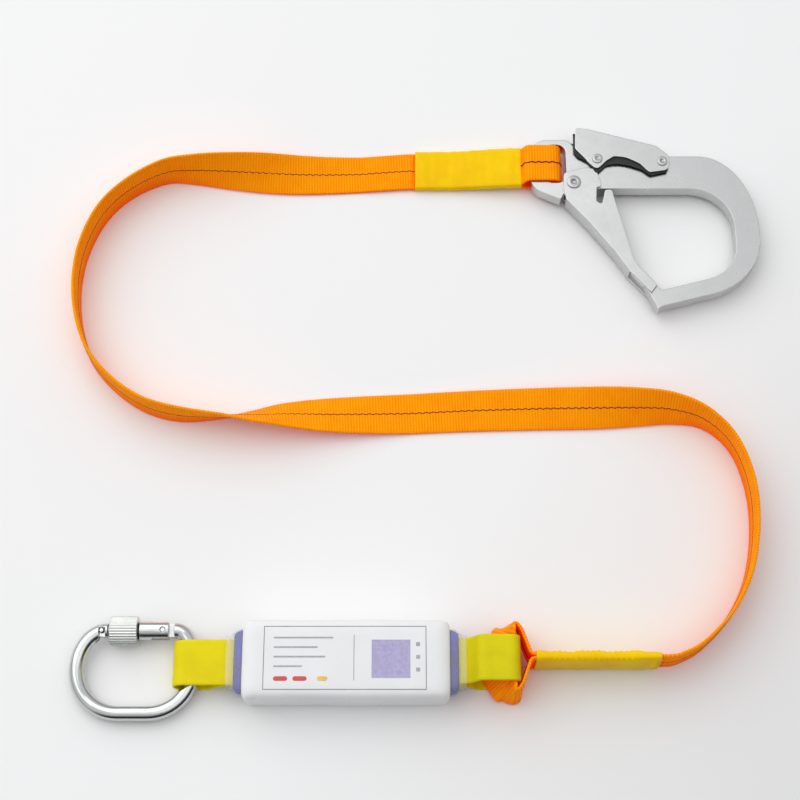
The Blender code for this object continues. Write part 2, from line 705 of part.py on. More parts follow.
def hook_outline():
    """The forged body: eye, pivot boss, back, bend and nose with its tongue."""
    back_top = BACK_Y + BACK_H
    bend_start = Vector((THROAT_END - 0.0275, BACK_Y - 0.043))
    outer_x = THROAT_END + BEND_W
    bend_size = Vector((outer_x, back_top)) - bend_start
    bend = [
        (bend_start.x + bend_size.x * math.sin(a), bend_start.y + bend_size.y * math.cos(a))
        for a in (math.pi / 2 * i / BEND_STEPS for i in range(BEND_STEPS + 1))
    ]
    nose_drop = NOSE_W / math.cos(NOSE_SLOPE) - BEND_W * math.tan(NOSE_SLOPE)
    outer_corner = Vector((outer_x, THROAT_LOW - nose_drop))
    low_end = NOSE_END - NOSE_UP * NOSE_W
    tongue = (PIVOT - NOSE_END).normalized()
    across = Vector((-tongue.y, tongue.x))
    tip = NOSE_END + tongue * NOSE_TONGUE
    boss = arc(PIVOT, BOSS_R, -22, -132, 8)
    eye_top = EYE_HALF + EYE_RIM
    return rounded([
        (-EYE_BAR / 2, -eye_top, EYE_ROUND), (-EYE_BAR / 2, eye_top, EYE_ROUND),
        (EYE_END + 0.0015, eye_top, 0.006), (PIVOT.x + 0.001, back_top + 0.0108, 0.004),
        (LEVER_AT.x - 0.013, back_top + 0.0018), (LEVER_AT.x + 0.006, back_top), *bend,
        (outer_corner.x, outer_corner.y, 0.058), (low_end.x + 0.0012, low_end.y + 0.0003),
        tuple(low_end - tongue * 0.001 + across * 0.0028), tuple(tip + across * 0.0032) + (0.0015,),
        tuple(tip - across * 0.0032) + (0.0015,), tuple(NOSE_END - NOSE_DIR * 0.006),
        (THROAT_END, THROAT_LOW, THROAT_ROUND - 0.003), (THROAT_END, BACK_Y, THROAT_ROUND),
        (PIVOT.x + BOSS_R, BACK_Y), *boss,
        (PIVOT.x - 0.0118, PIVOT.y - 0.0160, 0.002), (PIVOT.x - 0.0165, PIVOT.y - 0.0140, 0.003),
    ], 8.0)


def build_hook_body(hook):
    eye_hole = rounded([
        (EYE_BAR / 2, -EYE_HALF, 0.008), (EYE_END, -EYE_HALF, 0.008),
        (EYE_END, EYE_HALF, 0.008), (EYE_BAR / 2, EYE_HALF, 0.008),
    ])
    pin = LEVER_AT + LOCK_PIN
    low = pin + Vector((0.0, -LOCK_PIN_RUN * math.sin(LEVER_TRAVEL)))
    slot_r = LOCK_PIN_R + RUN
    slot = arc(pin, slot_r, 0, 180, 8) + arc(low, slot_r, 180, 360, 8)
    holes = [arc(PIVOT, RIVET_R + GAP, 0, 345, 23), arc(LEVER_AT, LEVER_RIVET_R + GAP, 0, 345, 23)]
    body = plate("hook_body", [hook_outline(), eye_hole, slot, *holes], HOOK_T, HOOK_EDGE)
    body.parent = hook
    keep(body, "plated_steel", hook)

    boss_h = LEVER_IN - HOOK_T / 2 - GAP
    for sign, name in ((1, "hook_lever_washer_upper"), (-1, "hook_lever_washer_lower")):
        ring = plate(name, [arc(LEVER_AT, LEVER_HEAD_R + 0.0015, 0, 345, 23), holes[1]], boss_h - GAP)
        ring.location.z = sign * (HOOK_T / 2 + GAP + (boss_h - GAP) / 2)
        keep(ring, "plated_steel", hook)

    coil_h = GATE_COIL_TURNS * GATE_COIL_PITCH + GATE_WIRE + 2 * GAP
    pocket_r = GATE_COIL_R + GATE_WIRE / 2 + 2 * RUN
    pocket_end = PIVOT.y - 0.03
    pocket = plate("spring_pocket", [
        arc(PIVOT, pocket_r, 0, 180, 12)
        + [(PIVOT.x - pocket_r, pocket_end), (PIVOT.x + pocket_r, pocket_end)]
    ], coil_h)
    axis, seat, _ = lever_spring_line()
    well = cylinder("spring_well", LEVER_COIL_R + LEVER_WIRE / 2 + RUN, 2 * SPRING_SEAT + 0.02, (0, 0, 0))
    well.rotation_euler = Vector((axis.x, axis.y, 0.0)).to_track_quat("Z", "Y").to_euler()
    middle = seat + axis * (SPRING_SEAT + 0.01 - GAP)
    well.location = (middle.x, middle.y, 0.0)
    cut(body, pocket, well)


def lever_spring_line():
    """The lever spring's direction, its seat's place in the body and its length up to the lever's web."""
    slope = math.atan2(LEVER_RISE - 0.0155, LEVER_L - 0.014)
    axis = Vector((math.sin(slope), math.cos(slope)))
    web_under = lever_web_at(LEVER_SPRING_RUN) - SHEET / math.cos(slope)
    web = LEVER_AT + Vector((-LEVER_SPRING_RUN, web_under))
    back_top = BACK_Y + BACK_H
    free = (web.y - back_top - 0.0045) * math.cos(slope)
    length = free + SPRING_SEAT - 2 * GAP
    seat = web - axis * (GAP + length)
    return axis, seat, length


def lever_web_at(run):
    """Height of the lever's outer face over its pivot at a distance towards the eye."""
    share = (run - 0.0045) / (LEVER_L - 0.0100 - 0.0045)
    return 0.0155 + share * (LEVER_RISE - 0.0010 - 0.0155)


def gate_point(along, across):
    return GATE_DIR * along + GATE_IN_DIR * across


def build_gate(hook):
    """The pressed channel gate, its web outside, its flanges over body and nose."""
    back = BOSS_R + 2 * RUN + SHEET
    arm = 0.62 * GATE_L
    web = [gate_point(0.010, -back + 0.0014), gate_point(0.30 * GATE_L, -0.0112),
           gate_point(arm, -0.0080), gate_point(0.79 * GATE_L, -0.0082)]
    end = [gate_point(GATE_L + 0.001, -GATE_TIP_W / 2), gate_point(GATE_L - 0.002, GATE_TIP_W / 2)]
    slot = [(0.0236, -0.0046, 0.0015), (0.0200, -0.0046, 0.0015), (0.0190, -0.0190, 0.0022),
            (0.0240, -0.0226, 0.0022)]
    finger = [(0.0272, -0.0080, 0.001), (0.0335, -0.0070, 0.003)]
    outline = rounded([
        (-0.0090, -0.0060, 0.004), (-0.0090, 0.0095, 0.006), (0.0110, 0.0150, 0.009),
        (0.0200, 0.0130, 0.004), (0.0243, -0.0010, 0.006), *slot, *finger, (0.0345, -0.0140, 0.010),
        tuple(gate_point(0.75 * GATE_L, GATE_ARM_W - 0.0088)) + (0.020,), *[tuple(p) for p in reversed(end)],
        *[tuple(p) for p in reversed(web)],
    ])
    hole = arc((0.0, 0.0), RIVET_R + GAP, 0, 345, 23)
    gate = plate("hook_gate", [outline, hole], 2 * GATE_OUT, SHEET * 0.3)
    gate.location = (PIVOT.x, PIVOT.y, 0.0)
    keep(gate, "plated_steel", hook)
    inner = []
    for i, point in enumerate(web):
        ahead = web[min(i + 1, len(web) - 1)] - web[max(i - 1, 0)]
        inner.append(point + Vector((-ahead.y, ahead.x)).normalized() * SHEET)
    start = inner[0] + Vector((-0.0006, 0.0006))
    last = inner[-1]
    past = GATE_DIR * 0.04
    room = plate("gate_channel", [[
        (-0.05, start.y), tuple(start), *[tuple(p) for p in inner[1:]],
        tuple(last - GATE_IN_DIR * 0.012), tuple(last - GATE_IN_DIR * 0.012 + past),
        (0.12, last.y - 0.02), (0.12, 0.05), (-0.05, 0.05),
    ]], 2 * GATE_IN)
    room.location = gate.location
    cut(gate, room)
    return gate


def rivet(name, shaft_r, head_r, head_h, grip, place, parent):
    """A rivet along Z with a low domed and dimpled head at each end of its grip."""
    half = grip / 2 + GAP
    head = [
        (half, shaft_r), (half, head_r), (half + 0.45 * head_h, head_r), (half + head_h, 0.58 * head_r),
        (half + 0.7 * head_h, 0.42 * head_r), (half - 0.3 * head_h, 0.24 * head_r),
        (half - 0.3 * head_h, 0.0),
    ]
    obj = turned(name, [(-x, r) for x, r in reversed(head)] + head)
    obj.rotation_euler = (0.0, math.pi / 2, 0.0)
    obj.location = (place.x, place.y, 0.0)
    return keep(obj, "plated_steel", parent)


def build_lever(hook):
    """The lock lever: a channel over the hook's back with its web outside and a lobe for the lock pin."""
    top = LEVER_RISE
    outline = rounded([
        (-LEVER_L, top, 0.003), (-LEVER_L + 0.0100, lever_web_at(LEVER_L - 0.0100), 0.012),
        (-0.0045, 0.0155, 0.008), (0.0070, 0.0050, 0.006), (0.0055, -0.0085, 0.006),
        (-0.0120, -0.0112, 0.004), (-0.0200, -0.0022, 0.006), (-0.0320, 0.0040, 0.010),
        (LOCK_PIN.x + 0.0150, 0.0052, 0.005), (LOCK_PIN.x + 0.0080, 0.0005, 0.003),
        (LOCK_PIN.x - 0.0010, -0.0088, 0.004), (-LEVER_L - 0.0010, 0.0130, 0.004),
    ])
    holes = [arc((0.0, 0.0), LEVER_RIVET_R + GAP, 0, 345, 23), arc(LOCK_PIN, LOCK_PIN_R + GAP, 0, 345, 23)]
    lever = plate("hook_lock_lever", [outline, *holes], 2 * LEVER_OUT, SHEET * 0.3)
    lever.location = (LEVER_AT.x, LEVER_AT.y, 0.0)
    keep(lever, "plated_steel", hook)
    drop = SHEET / math.cos(math.atan2(LEVER_RISE - 0.0155, LEVER_L))
    back_top = BACK_Y + BACK_H - LEVER_AT.y + 2 * RUN
    room = plate("lever_channel", [rounded([
        (-LEVER_L - 0.02, lever_web_at(LEVER_L + 0.02) - drop), (-0.0045, 0.0155 - drop, 0.006),
        (0.0032, back_top), (0.03, back_top), (0.03, -0.0300), (-LEVER_L - 0.02, -0.0300),
    ])], 2 * LEVER_IN)
    room.location = lever.location
    cut(lever, room)


def spaced_coil(turns, pitch, radius, start_turn=0.0, per_turn=9):
    """Points of a helix about Z, centred on the origin."""
    count = round(turns * per_turn)
    points = []
    for i in range(count + 1):
        turn = start_turn + 2 * math.pi * turns * i / count
        height = pitch * turns * (i / count - 0.5)
        points.append(Vector((radius * math.cos(turn), radius * math.sin(turn), height)))
    return points


def least_gap(points, thickness, skip):
    """The least clear distance between parts of a coil that lie more than skip points apart."""
    return min(
        (points[i] - points[j]).length - thickness
        for i in range(len(points)) for j in range(i + skip, len(points))
    )


def build_hook_springs(hook):
    out_turn = math.atan2(GATE_DIR.y, GATE_DIR.x) - math.pi / 2
    first_turn = out_turn - 2 * math.pi * GATE_COIL_TURNS
    coil = spaced_coil(GATE_COIL_TURNS, GATE_COIL_PITCH, GATE_COIL_R, first_turn)
    leg_dir = gate_point(1.0, -0.11).normalized()
    end = coil[-1]
    leg = [end + Vector((leg_dir.x, leg_dir.y, 0.0)) * s for s in (0.008, 0.016, 0.026)]
    print("hook_gate_spring least gap mm", round(1000 * least_gap(coil, GATE_WIRE, 6), 2))
    spring = wire("hook_gate_spring", coil + leg, GATE_WIRE / 2, 1)
    spring.location = (PIVOT.x, PIVOT.y, 0.0)
    keep(spring, "spring_steel", hook)

    axis, seat, length = lever_spring_line()
    rise = length - LEVER_WIRE
    coil = spaced_coil(LEVER_COIL_TURNS, rise / LEVER_COIL_TURNS, LEVER_COIL_R)
    print("hook_lever_spring least gap mm", round(1000 * least_gap(coil, LEVER_WIRE, 6), 2))
    spring = wire("hook_lever_spring", coil, LEVER_WIRE / 2, 1)
    spring.rotation_euler = Vector((axis.x, axis.y, 0.0)).to_track_quat("Z", "Y").to_euler()
    middle = seat + axis * (length / 2)
    spring.location = (middle.x, middle.y, 0.0)
    keep(spring, "spring_steel", hook)


def build_hook():
    hook = frame("hook_frame", (HOOK_AT[0], HOOK_AT[1], HOOK_Z))
    build_hook_body(hook)
    build_gate(hook)
    build_lever(hook)
    build_hook_springs(hook)
    rivet("hook_gate_rivet", RIVET_R, RIVET_HEAD_R, RIVET_HEAD_H, 2 * GATE_OUT, PIVOT, hook)
    rivet("hook_lever_rivet", LEVER_RIVET_R, LEVER_HEAD_R, LEVER_HEAD_H, 2 * LEVER_OUT, LEVER_AT, hook)
    rivet("hook_lock_pin", LOCK_PIN_R, LEVER_HEAD_R, LEVER_HEAD_H, 2 * LEVER_OUT, LEVER_AT + LOCK_PIN, hook)


def carabiner_path():
    """The bent bar's middle line from the nose round to the hinge end."""
    left = -CARABINER_L
    top = CARABINER_ABOVE
    low = CARABINER_ABOVE - CARABINER_H
    shoulder = HINGE_X + math.hypot(BARREL_R, 0.0045) + RUN
    path = [(NOSE_X, top)]
    path += arc((left + ROUND_NOSE, top - NOSE_TALL * ROUND_NOSE), ROUND_NOSE, 90, 180, 12, NOSE_TALL)
    path += arc((left + ROUND_LEFT, low + ROUND_LEFT), ROUND_LEFT, 180, 270, 14)
    path += arc((-ROUND_LOW, low + ROUND_LOW), ROUND_LOW, 270, 360, 12)
    path += arc((-ROUND_HINGE, top - HINGE_TALL * ROUND_HINGE), ROUND_HINGE, 0, 90, 12, HINGE_TALL)
    path.append((shoulder, top))
    return [(x, y, 0.0) for x, y in path]


def build_carabiner():
    low_y = CARABINER_ABOVE - CARABINER_H
    swing_z = CARABINER_LOW_Z - low_y * math.sin(CARABINER_TILT)
    clip = frame("carabiner_frame", (SWING_X, 0.0, swing_z), CARABINER_TILT)
    top = CARABINER_ABOVE

    body = made_mesh(wire("carabiner_body", carabiner_path(), BAR_R, 6))
    keep(body, "polished_steel", clip)
    reach = 0.012
    tongue = plate("hinge_tongue", [
        arc((0.0, 0.0), BAR_R - RUN, 90, 270, 12) + [(reach, -BAR_R + RUN), (reach, BAR_R - RUN)]
    ], TONGUE_T)
    tongue.location = (HINGE_X, top, 0.0)
    joined(body, tongue, "UNION")
    hole = cylinder("hinge_hole", HINGE_PIN_R + GAP, 0.03, (HINGE_X, top, 0.0))
    slot = box("latch_slot", (2 * LATCH_DEPTH, 0.03, LATCH_T + 2 * RUN), (NOSE_X, top, 0.0))
    notch_low = 0.03
    notch_w = 2 * LATCH_PIN_R + 5 * RUN
    latch_x = NOSE_X - LATCH_DEPTH / 2
    notch = box("latch_notch", (notch_w, notch_low, 0.03),
                (latch_x + RUN, top + LATCH_PIN_R + RUN - notch_low / 2, 0.0))
    cut(body, hole, slot, notch)

    build_carabiner_gate(clip, top, latch_x)


def build_carabiner_gate(clip, top, latch_x):
    barrel_end = 0.0045
    thread_end = -GATE_OPENING + 0.0010
    tip_end = -GATE_OPENING - LATCH_DEPTH + 2 * RUN
    gate = turned("carabiner_gate", [
        (barrel_end, 0.0), (barrel_end, BARREL_R), (barrel_end - BARREL_L - 0.0045, BARREL_R),
        (barrel_end - BARREL_L - 0.0055, THREAD_R), (thread_end, THREAD_R),
        (tip_end, THREAD_R - 0.0012), (tip_end, 0.0),
    ])
    gate.location = (HINGE_X, top, 0.0)
    keep(gate, "polished_steel", clip)
    fork_floor = BAR_R + 0.0030
    fork_l = fork_floor + 2 * barrel_end
    fork = box("fork_slot", (fork_l, 0.03, TONGUE_T + 2 * RUN), (HINGE_X - fork_floor + fork_l / 2, top, 0.0))
    hole = cylinder("gate_pin_hole", HINGE_PIN_R + GAP, 0.03, (HINGE_X, top, 0.0))
    tip = abs(tip_end - thread_end) + 0.01
    cheeks = []
    for sign in (1, -1):
        side = box("latch_cheek", (tip, 0.03, 0.02), (0, 0, 0))
        side.location = (HINGE_X + thread_end - tip / 2, top, sign * (LATCH_T / 2 + 0.01))
        cheeks.append(side)
    latch_hole = cylinder("latch_pin_hole", LATCH_PIN_R + GAP, 0.03, (latch_x, top, 0.0), sides=16)
    bore_l = fork_floor + PLUNGER_L + 0.012
    bore = cylinder("plunger_bore", PLUNGER_R + GAP, bore_l, (HINGE_X - bore_l / 2, top, 0.0), "X", 16)
    cut(gate, fork, hole, *cheeks, latch_hole, bore)

    pin = cylinder("carabiner_hinge_pin", HINGE_PIN_R, 2 * BARREL_R - 0.002, (HINGE_X, top, 0.0), sides=16)
    keep(pin, "polished_steel", clip)
    latch = cylinder("carabiner_latch_pin", LATCH_PIN_R, 2 * BAR_R - 0.002, (latch_x, top, 0.0), sides=16)
    keep(latch, "polished_steel", clip)
    plunger_x = HINGE_X - BAR_R - GAP - PLUNGER_L / 2
    plunger = cylinder("carabiner_plunger", PLUNGER_R, PLUNGER_L, (plunger_x, top, 0.0), "X", 16)
    keep(plunger, "polished_steel", clip)
    spring_start = HINGE_X - BAR_R - GAP - PLUNGER_L - GAP
    spring_end = HINGE_X - bore_l + GAP
    length = spring_start - spring_end - GATE_SPRING_WIRE
    coil = spaced_coil(GATE_SPRING_TURNS, length / GATE_SPRING_TURNS, PLUNGER_R - GATE_SPRING_WIRE / 2)
    print("carabiner_gate_spring least gap mm", round(1000 * least_gap(coil, GATE_SPRING_WIRE, 6), 2))
    spring = wire("carabiner_gate_spring", coil, GATE_SPRING_WIRE / 2, 1)
    spring.rotation_euler = (0.0, math.pi / 2, 0.0)
    spring.location = ((spring_start + spring_end) / 2, top, 0.0)
    keep(spring, "spring_steel", clip)

    sleeve_start = HINGE_X - BARREL_L - 0.0015
    ring = []
    for i in range(4 * SLEEVE_FLUTES):
        turn = 2 * math.pi * i / (4 * SLEEVE_FLUTES)
        radius = SLEEVE_R - (FLUTE_DEPTH if i % 4 in (0, 1) else 0.0)
        ring.append((radius * math.cos(turn), radius * math.sin(turn)))
    bore_ring = arc((0.0, 0.0), THREAD_R + RUN, 0, 345, 23)
    sleeve = plate("carabiner_screw_sleeve", [ring, bore_ring], SLEEVE_L)
    sleeve.rotation_euler = (0.0, math.pi / 2, 0.0)
    sleeve.location = (sleeve_start - SLEEVE_L / 2, top, 0.0)
    keep(sleeve, "polished_steel", clip)


def main():
    start_scene()
    build_pack()
    base = FLOOR_GAP + LOOP_T
    bar_top = CARABINER_LOW_Z + BAR_R + CARABINER_ROOM
    eye_top = base + WEB_W * math.sin(math.radians(EYE_LEAN)) + WEB_T + 8 * GAP
    carabiner_belly = FILM_END + CARABINER_BELLY
    strap_belly = FILM_END + STRAP_BELLY
    build_loop("carabiner_loop", -1, CARABINER_FOLD, base, bar_top, carabiner_belly, 0.0, CARABINER_BEND)
    build_loop("strap_loop", 1, STRAP_FOLD, base, eye_top, strap_belly, STRAP_EXIT_SPREAD, STRAP_BEND)
    build_strap()
    build_hook()
    build_carabiner()


main()
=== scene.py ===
import json
import math

import bmesh
import bpy
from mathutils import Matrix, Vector


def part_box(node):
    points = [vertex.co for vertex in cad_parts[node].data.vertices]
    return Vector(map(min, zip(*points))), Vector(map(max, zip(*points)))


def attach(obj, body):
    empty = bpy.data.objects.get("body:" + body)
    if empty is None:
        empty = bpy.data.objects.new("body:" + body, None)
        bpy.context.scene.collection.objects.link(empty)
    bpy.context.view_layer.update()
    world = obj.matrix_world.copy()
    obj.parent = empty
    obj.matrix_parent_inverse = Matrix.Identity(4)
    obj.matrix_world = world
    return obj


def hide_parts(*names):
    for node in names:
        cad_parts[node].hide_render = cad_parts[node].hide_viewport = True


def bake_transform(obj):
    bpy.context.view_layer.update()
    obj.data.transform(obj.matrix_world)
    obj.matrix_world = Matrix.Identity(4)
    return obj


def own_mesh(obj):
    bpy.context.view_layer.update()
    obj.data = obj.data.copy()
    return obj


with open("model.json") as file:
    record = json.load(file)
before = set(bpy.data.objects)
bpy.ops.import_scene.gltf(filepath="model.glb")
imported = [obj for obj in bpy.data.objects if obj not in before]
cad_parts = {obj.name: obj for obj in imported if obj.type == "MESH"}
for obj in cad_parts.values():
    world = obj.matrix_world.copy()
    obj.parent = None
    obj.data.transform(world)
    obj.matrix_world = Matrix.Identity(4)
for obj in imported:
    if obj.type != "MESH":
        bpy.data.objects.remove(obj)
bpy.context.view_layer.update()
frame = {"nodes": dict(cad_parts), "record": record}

NODES = frame["nodes"]
JOINT_AT = {joint["name"]: Vector(joint["pos_m"]) for joint in frame["record"]["behaviour"]["joints"]}
HOOK_AT = JOINT_AT["hook_swing"]
LEVER_AT = JOINT_AT["hook_lever_hinge"]

# Sizes shared with the solids, in metres and degrees
WEB_W = 0.036
WEB_T = 0.0026
LOOP_W = 0.0362
LOOP_T = 0.0024
SLEEVE_LIFT = 0.0012
SEAM = 0.005
FLOOR_GAP = 0.0003
EYE_LEAN = 56
EYE_FLARE = 83
EYE_SPAN = 0.0340
EYE_CORNER_IN = 0.0153
EYE_CORNER_R = 0.0045
EYE_TURN_R = 0.016
EYE_ENTRY = 0.0018
EYE_FROM_FOLD = 0.0245
HOOK_T = 0.012

# The strap's middle line from hook sleeve to pack sleeve: x, y, and the roll that lifts its right edge
ROUTE = [
    (0.0060, 0.4475, 0), (-0.0480, 0.4450, 15), (-0.1010, 0.4440, 48),
    (-0.1410, 0.4440, 72), (-0.1680, 0.4410, 84), (-0.1980, 0.4240, 90), (-0.2200, 0.3990, 90),
    (-0.2330, 0.3660, 90), (-0.2370, 0.3320, 90), (-0.2330, 0.2970, 90), (-0.2210, 0.2640, 90),
    (-0.2000, 0.2380, 90), (-0.1730, 0.2190, 90), (-0.1420, 0.2100, 88), (-0.1040, 0.2085, 72),
    (-0.0790, 0.2090, 55), (-0.0530, 0.2115, 36), (-0.0120, 0.2135, 16), (0.0420, 0.2160, 2),
    (0.1000, 0.2185, -4), (0.1600, 0.2195, -13), (0.2040, 0.2190, -26), (0.2400, 0.2180, -45),
    (0.2700, 0.2155, -64), (0.2970, 0.2060, -83), (0.3180, 0.1840, -90), (0.3290, 0.1500, -90),
    (0.3300, 0.1120, -90), (0.3220, 0.0720, -90), (0.3050, 0.0390, -90), (0.2810, 0.0140, -90),
]
ROUTE_STEPS = 9

# The shortest last step of a line in even steps, as a share of the others
LAST_STEP = 0.2

# A band's section: places across its flat, and its edge as shares of its rounding and of its half thickness
BAND_EDGE = 0.42
BAND_FLAT = (-1, -0.9, -0.6, -0.2, 0.2, 0.6, 0.9, 1)
BAND_SIDE = ((0.3, 0.72), (0.0, 0.2), (0.0, -0.2), (0.3, -0.72))

# Thread, sunk into the strap and lying on the tighter loops
STITCH_PITCH = 0.0030
STITCH_SWING = 0.00050
STITCH_R = 0.0007
STITCH_SUNK = 0.00045
STITCH_RISE = WEB_T / 2 - STITCH_SUNK
LOOP_STITCH_RISE = WEB_T / 2

# The webbing's loop in the hook's eye: where its layers leave the sleeve, and the radii of its bends
HOOK_TAIL_IN = 0.010
HOOK_TAIL_STEPS = 24
LOWER_LEAVE = 0.0015
LOWER_LEAVE_R = 0.003
LOWER_BEND_R = 0.006
UPPER_LEAVE = 0.0030
UPPER_LEAVE_R = 0.0035
UPPER_BEND_R = 0.0042
HOOK_FOLD_R = 0.0068
HOOK_LOOP_STEP = 0.0016

# The webbing's eye at the pack, upright once it is a share of its height away from its corner
EYE_MOUTH = 0.8 * EYE_CORNER_R
EYE_UPRIGHT_BY = 0.25
EYE_TURN_STEP = 6.0
EYE_STEP = 0.0011

# Yellow sleeves; waves are heights, turns and shifts
SLEEVE_WALL = 0.0006
SLEEVE_RISE = 0.0055
SLEEVE_RISE_FROM = 0.3
HOOK_SLEEVE_TRIM = 0.0040
HOOK_SLEEVE_OVER = 0.0030
HOOK_SLEEVE_SLIM_Y = 0.0006
HOOK_SLEEVE_SLIM_Z = 0.0004
HOOK_SLEEVE_WAVES = ((0.00012, 37.0, 0.0), (0.00010, 71.0, 1.0))
HOOK_SLEEVE_POWER = 7.0
HOOK_SLEEVE_STEPS = 64
HOOK_SLEEVE_SIDES = 48
PACK_SLEEVE_TRIM = 0.0025
PACK_SLEEVE_SLACK_Y = 0.0008
PACK_SLEEVE_SLIM_Z = 0.0001
PACK_SLEEVE_WAVES = ((0.0003, 17.0, 0.5), (0.0002, 41.0, 0.0))
PACK_SLEEVE_WAVE_Z = 0.3
PACK_SLEEVE_SWAY = 0.6
PACK_SLEEVE_POWER = 3.2
PACK_SLEEVE_STEPS = 120
PACK_SLEEVE_SIDES = 72
TAPER = 0.0005
TAPER_FROM = 0.84
TAPER_TO = 0.94
KNOT_TURNS = 1450.0
KNOT_HEIGHT = 0.10
KNOTS_FROM = 0.12
KNOTS_TO = 0.80
KNOT_LINE = 0.80
KNOT_SPREAD = 0.10

# The loose tape corner at the pack sleeve's end
TAPE_ROWS = 6
TAPE_COLUMNS = 4
TAPE_LEFT = 0.0105
TAPE_LEFT_DRIFT = 0.0040
TAPE_RIGHT = 0.0008
TAPE_RIGHT_DRIFT = 0.0022
TAPE_TUCK = 0.0009
TAPE_CURL = 0.0042
TAPE_START = 0.0040
TAPE_L = 0.0105

# Yellow end loops of the pack
LOOP_TAIL_AT = 0.060
LOOP_EXIT_AT = 0.073
LOOP_EXIT_R = 0.012
LOOP_BELLY_R = 0.006
LOOP_STEP = 0.0018

# The pack's cover, and the wrap and film that show at its ends
COVER_POWER = 7.0
COVER_ROUND = 0.0055
COVER_END = 0.012
COVER_PUFF = 0.0014
COVER_WALL = 0.0008
COVER_WAVES = ((0.00025, 70.0, 0.7),)
COVER_CREASE = 0.0004
COVER_CREASE_W = 0.003
COVER_STEPS = 72
COVER_SIDES = 96
ENDS_IN = COVER_ROUND + 0.0012
ENDS_POWER = 6.0
WRAP_WALL = 0.0006
WRAP_SIDES = 72
WRAP_PROFILE = ((-0.016, 0.0), (-0.002, 0.0), (0.002, 0.0004), (0.005, 0.0014), (0.007, 0.0032))
FILM_WALL = 0.0003
FILM_SIDES = 96
FILM_SHORT = 0.003
FILM_OVER = 0.0008
FILM_MOUTH_Y = 0.0202
FILM_MOUTH_Z = 0.0106
FILM_SHARES = (-0.7, 0.0, 0.15, 0.3, 0.45, 0.6, 0.75, 0.9, 1.0)
FILM_CLOSE_FROM = 0.2
FILM_CLOSE_TO = 0.9
GATHERS = 11
GATHER_DEPTH = 0.012

# The printed panel on the cover
LABEL_LIFT = 0.00012
LABEL_T = 0.00008
LABEL_LEFT = -0.064
LABEL_RIGHT = 0.0625
LABEL_HALF_Y = 0.025
LABEL_LINE = 0.0005
LABEL_ROW = 0.004
TEXT_BARS = (0.046, 0.034, 0.040, 0.022)
TEXT_LEFT = -0.056
TEXT_TOP = 0.015
TEXT_PITCH = 0.0075
TEXT_H = 0.0013
BLOCK = (0.020, -0.016, 0.050, 0.014)
DIVIDER = (0.006, -0.018, 0.0066, 0.018)
PILL_Y = -0.0165
PILL_R = 0.0018
PILL_STEPS = 8
RED_PILLS = ((-0.056, -0.045), (-0.041, -0.030))
YELLOW_PILL = (-0.022, -0.014)
DOTS = 3
DOT_LEFT = 0.0545
DOT_TOP = 0.009
DOT_PITCH = 0.010
DOT_W = 0.003

# Metal
EDGE_R = 0.0008
EDGE_ANGLE = 28
WELD = 0.00001
BRUSH_DEPTH = 0.00012
# Dark sheets inside the lever: painted shade for the gap under its cheeks
SHADE_SHEET_T = 0.00024
SHADE_SHEET_Z = 0.00843
SHADE_SHEET_HOLES = ((0.0, 0.0, 0.0068), (-0.0575, 0.0025, 0.0029))
SHADE_SHEET_HOLE_STEPS = 24

# Nodes of the hook and the carabiner for which this scene has a piece of its own
REMADE = ("hook_end_loop", "hook_end_sleeve", "carabiner_loop", "hook_lever_spring", "hook_gate_spring")

# The studio, in metres, degrees, watts and grey levels; a light is its name, place, size and power
CAMERA_AT = (0.042, -0.2795, 1.2610)
CAMERA_TILT = 22.0
CAMERA_REACH = 20.0
LENS_MM = 72.0
SENSOR_MM = 36.0
FLOOR_REACH = 40.0
# Painted shade on the floor: its colour darkens along this way
FLOOR_SHADE_WAY = (1.0, -0.8, 0.0)
FLOOR_SHADE_TONES = ((0.0, (0.93, 0.93, 0.93)), (0.45, (0.80, 0.80, 0.805)))
FADE_FROM = 0.9
FADE_TO = 3.5
BACKDROP = 0.90
SKY = 0.80
SKY_TINT = (0.98, 0.99, 1.0)
SKY_AROUND = ((0.0, 0.50), (0.30, 0.80), (0.70, 1.0), (1.0, 0.95))
SKY_FRONT = ((0.0, 0.03), (0.48, 0.06), (0.78, 0.70), (1.0, 0.95))
FRONT_WAY = (0.45, -0.89, 0.0)
FRONT_FROM = 0.15
FRONT_TO = 0.65
LIGHT_AIM = Vector((0.05, 0.25, 0))
LIGHTS = (("key", Vector((-1.3, 1.5, 2.2)), 3.4, 37.0), ("fill", Vector((0.6, -0.4, 2.6)), 2.2, 8.0))

# Sockets of a Mix node for colours, whose names repeat, and a wave texture's period at scale 1
MIX_FACTOR = 0
MIX_A = 6
MIX_B = 7
MIX_OUT = 2
WAVE_PERIOD = 0.314


def along(value, start, end):
    """How far a value has come from a start to an end, held between 0 and 1."""
    return min(max((value - start) / (end - start), 0.0), 1.0)


def ease(value, start, end):
    """The same, but level at both ends."""
    share = along(value, start, end)
    return share * share * (3 - 2 * share)


def ripple(at, waves):
    """The sum of sine waves, each given as its height, its turns and its shift."""
    return sum(height * math.sin(at * turns + shift) for height, turns, shift in waves)


def smooth(points, per_span):
    """A smooth line through the points, of any number of values each."""
    rows = [tuple(2 * a - b for a, b in zip(points[0], points[1])), *points]
    rows.append(tuple(2 * a - b for a, b in zip(points[-1], points[-2])))
    out = []
    for i in range(1, len(rows) - 2):
        for n in range(per_span):
            t = n / per_span
            out.append(tuple(
                0.5 * (2 * b + (c - a) * t + (2 * a - 5 * b + 4 * c - d) * t * t
                       + (3 * b - a - 3 * c + d) * t ** 3)
                for a, b, c, d in zip(rows[i - 1], rows[i], rows[i + 1], rows[i + 2])
            ))
    out.append(tuple(points[-1]))
    return out


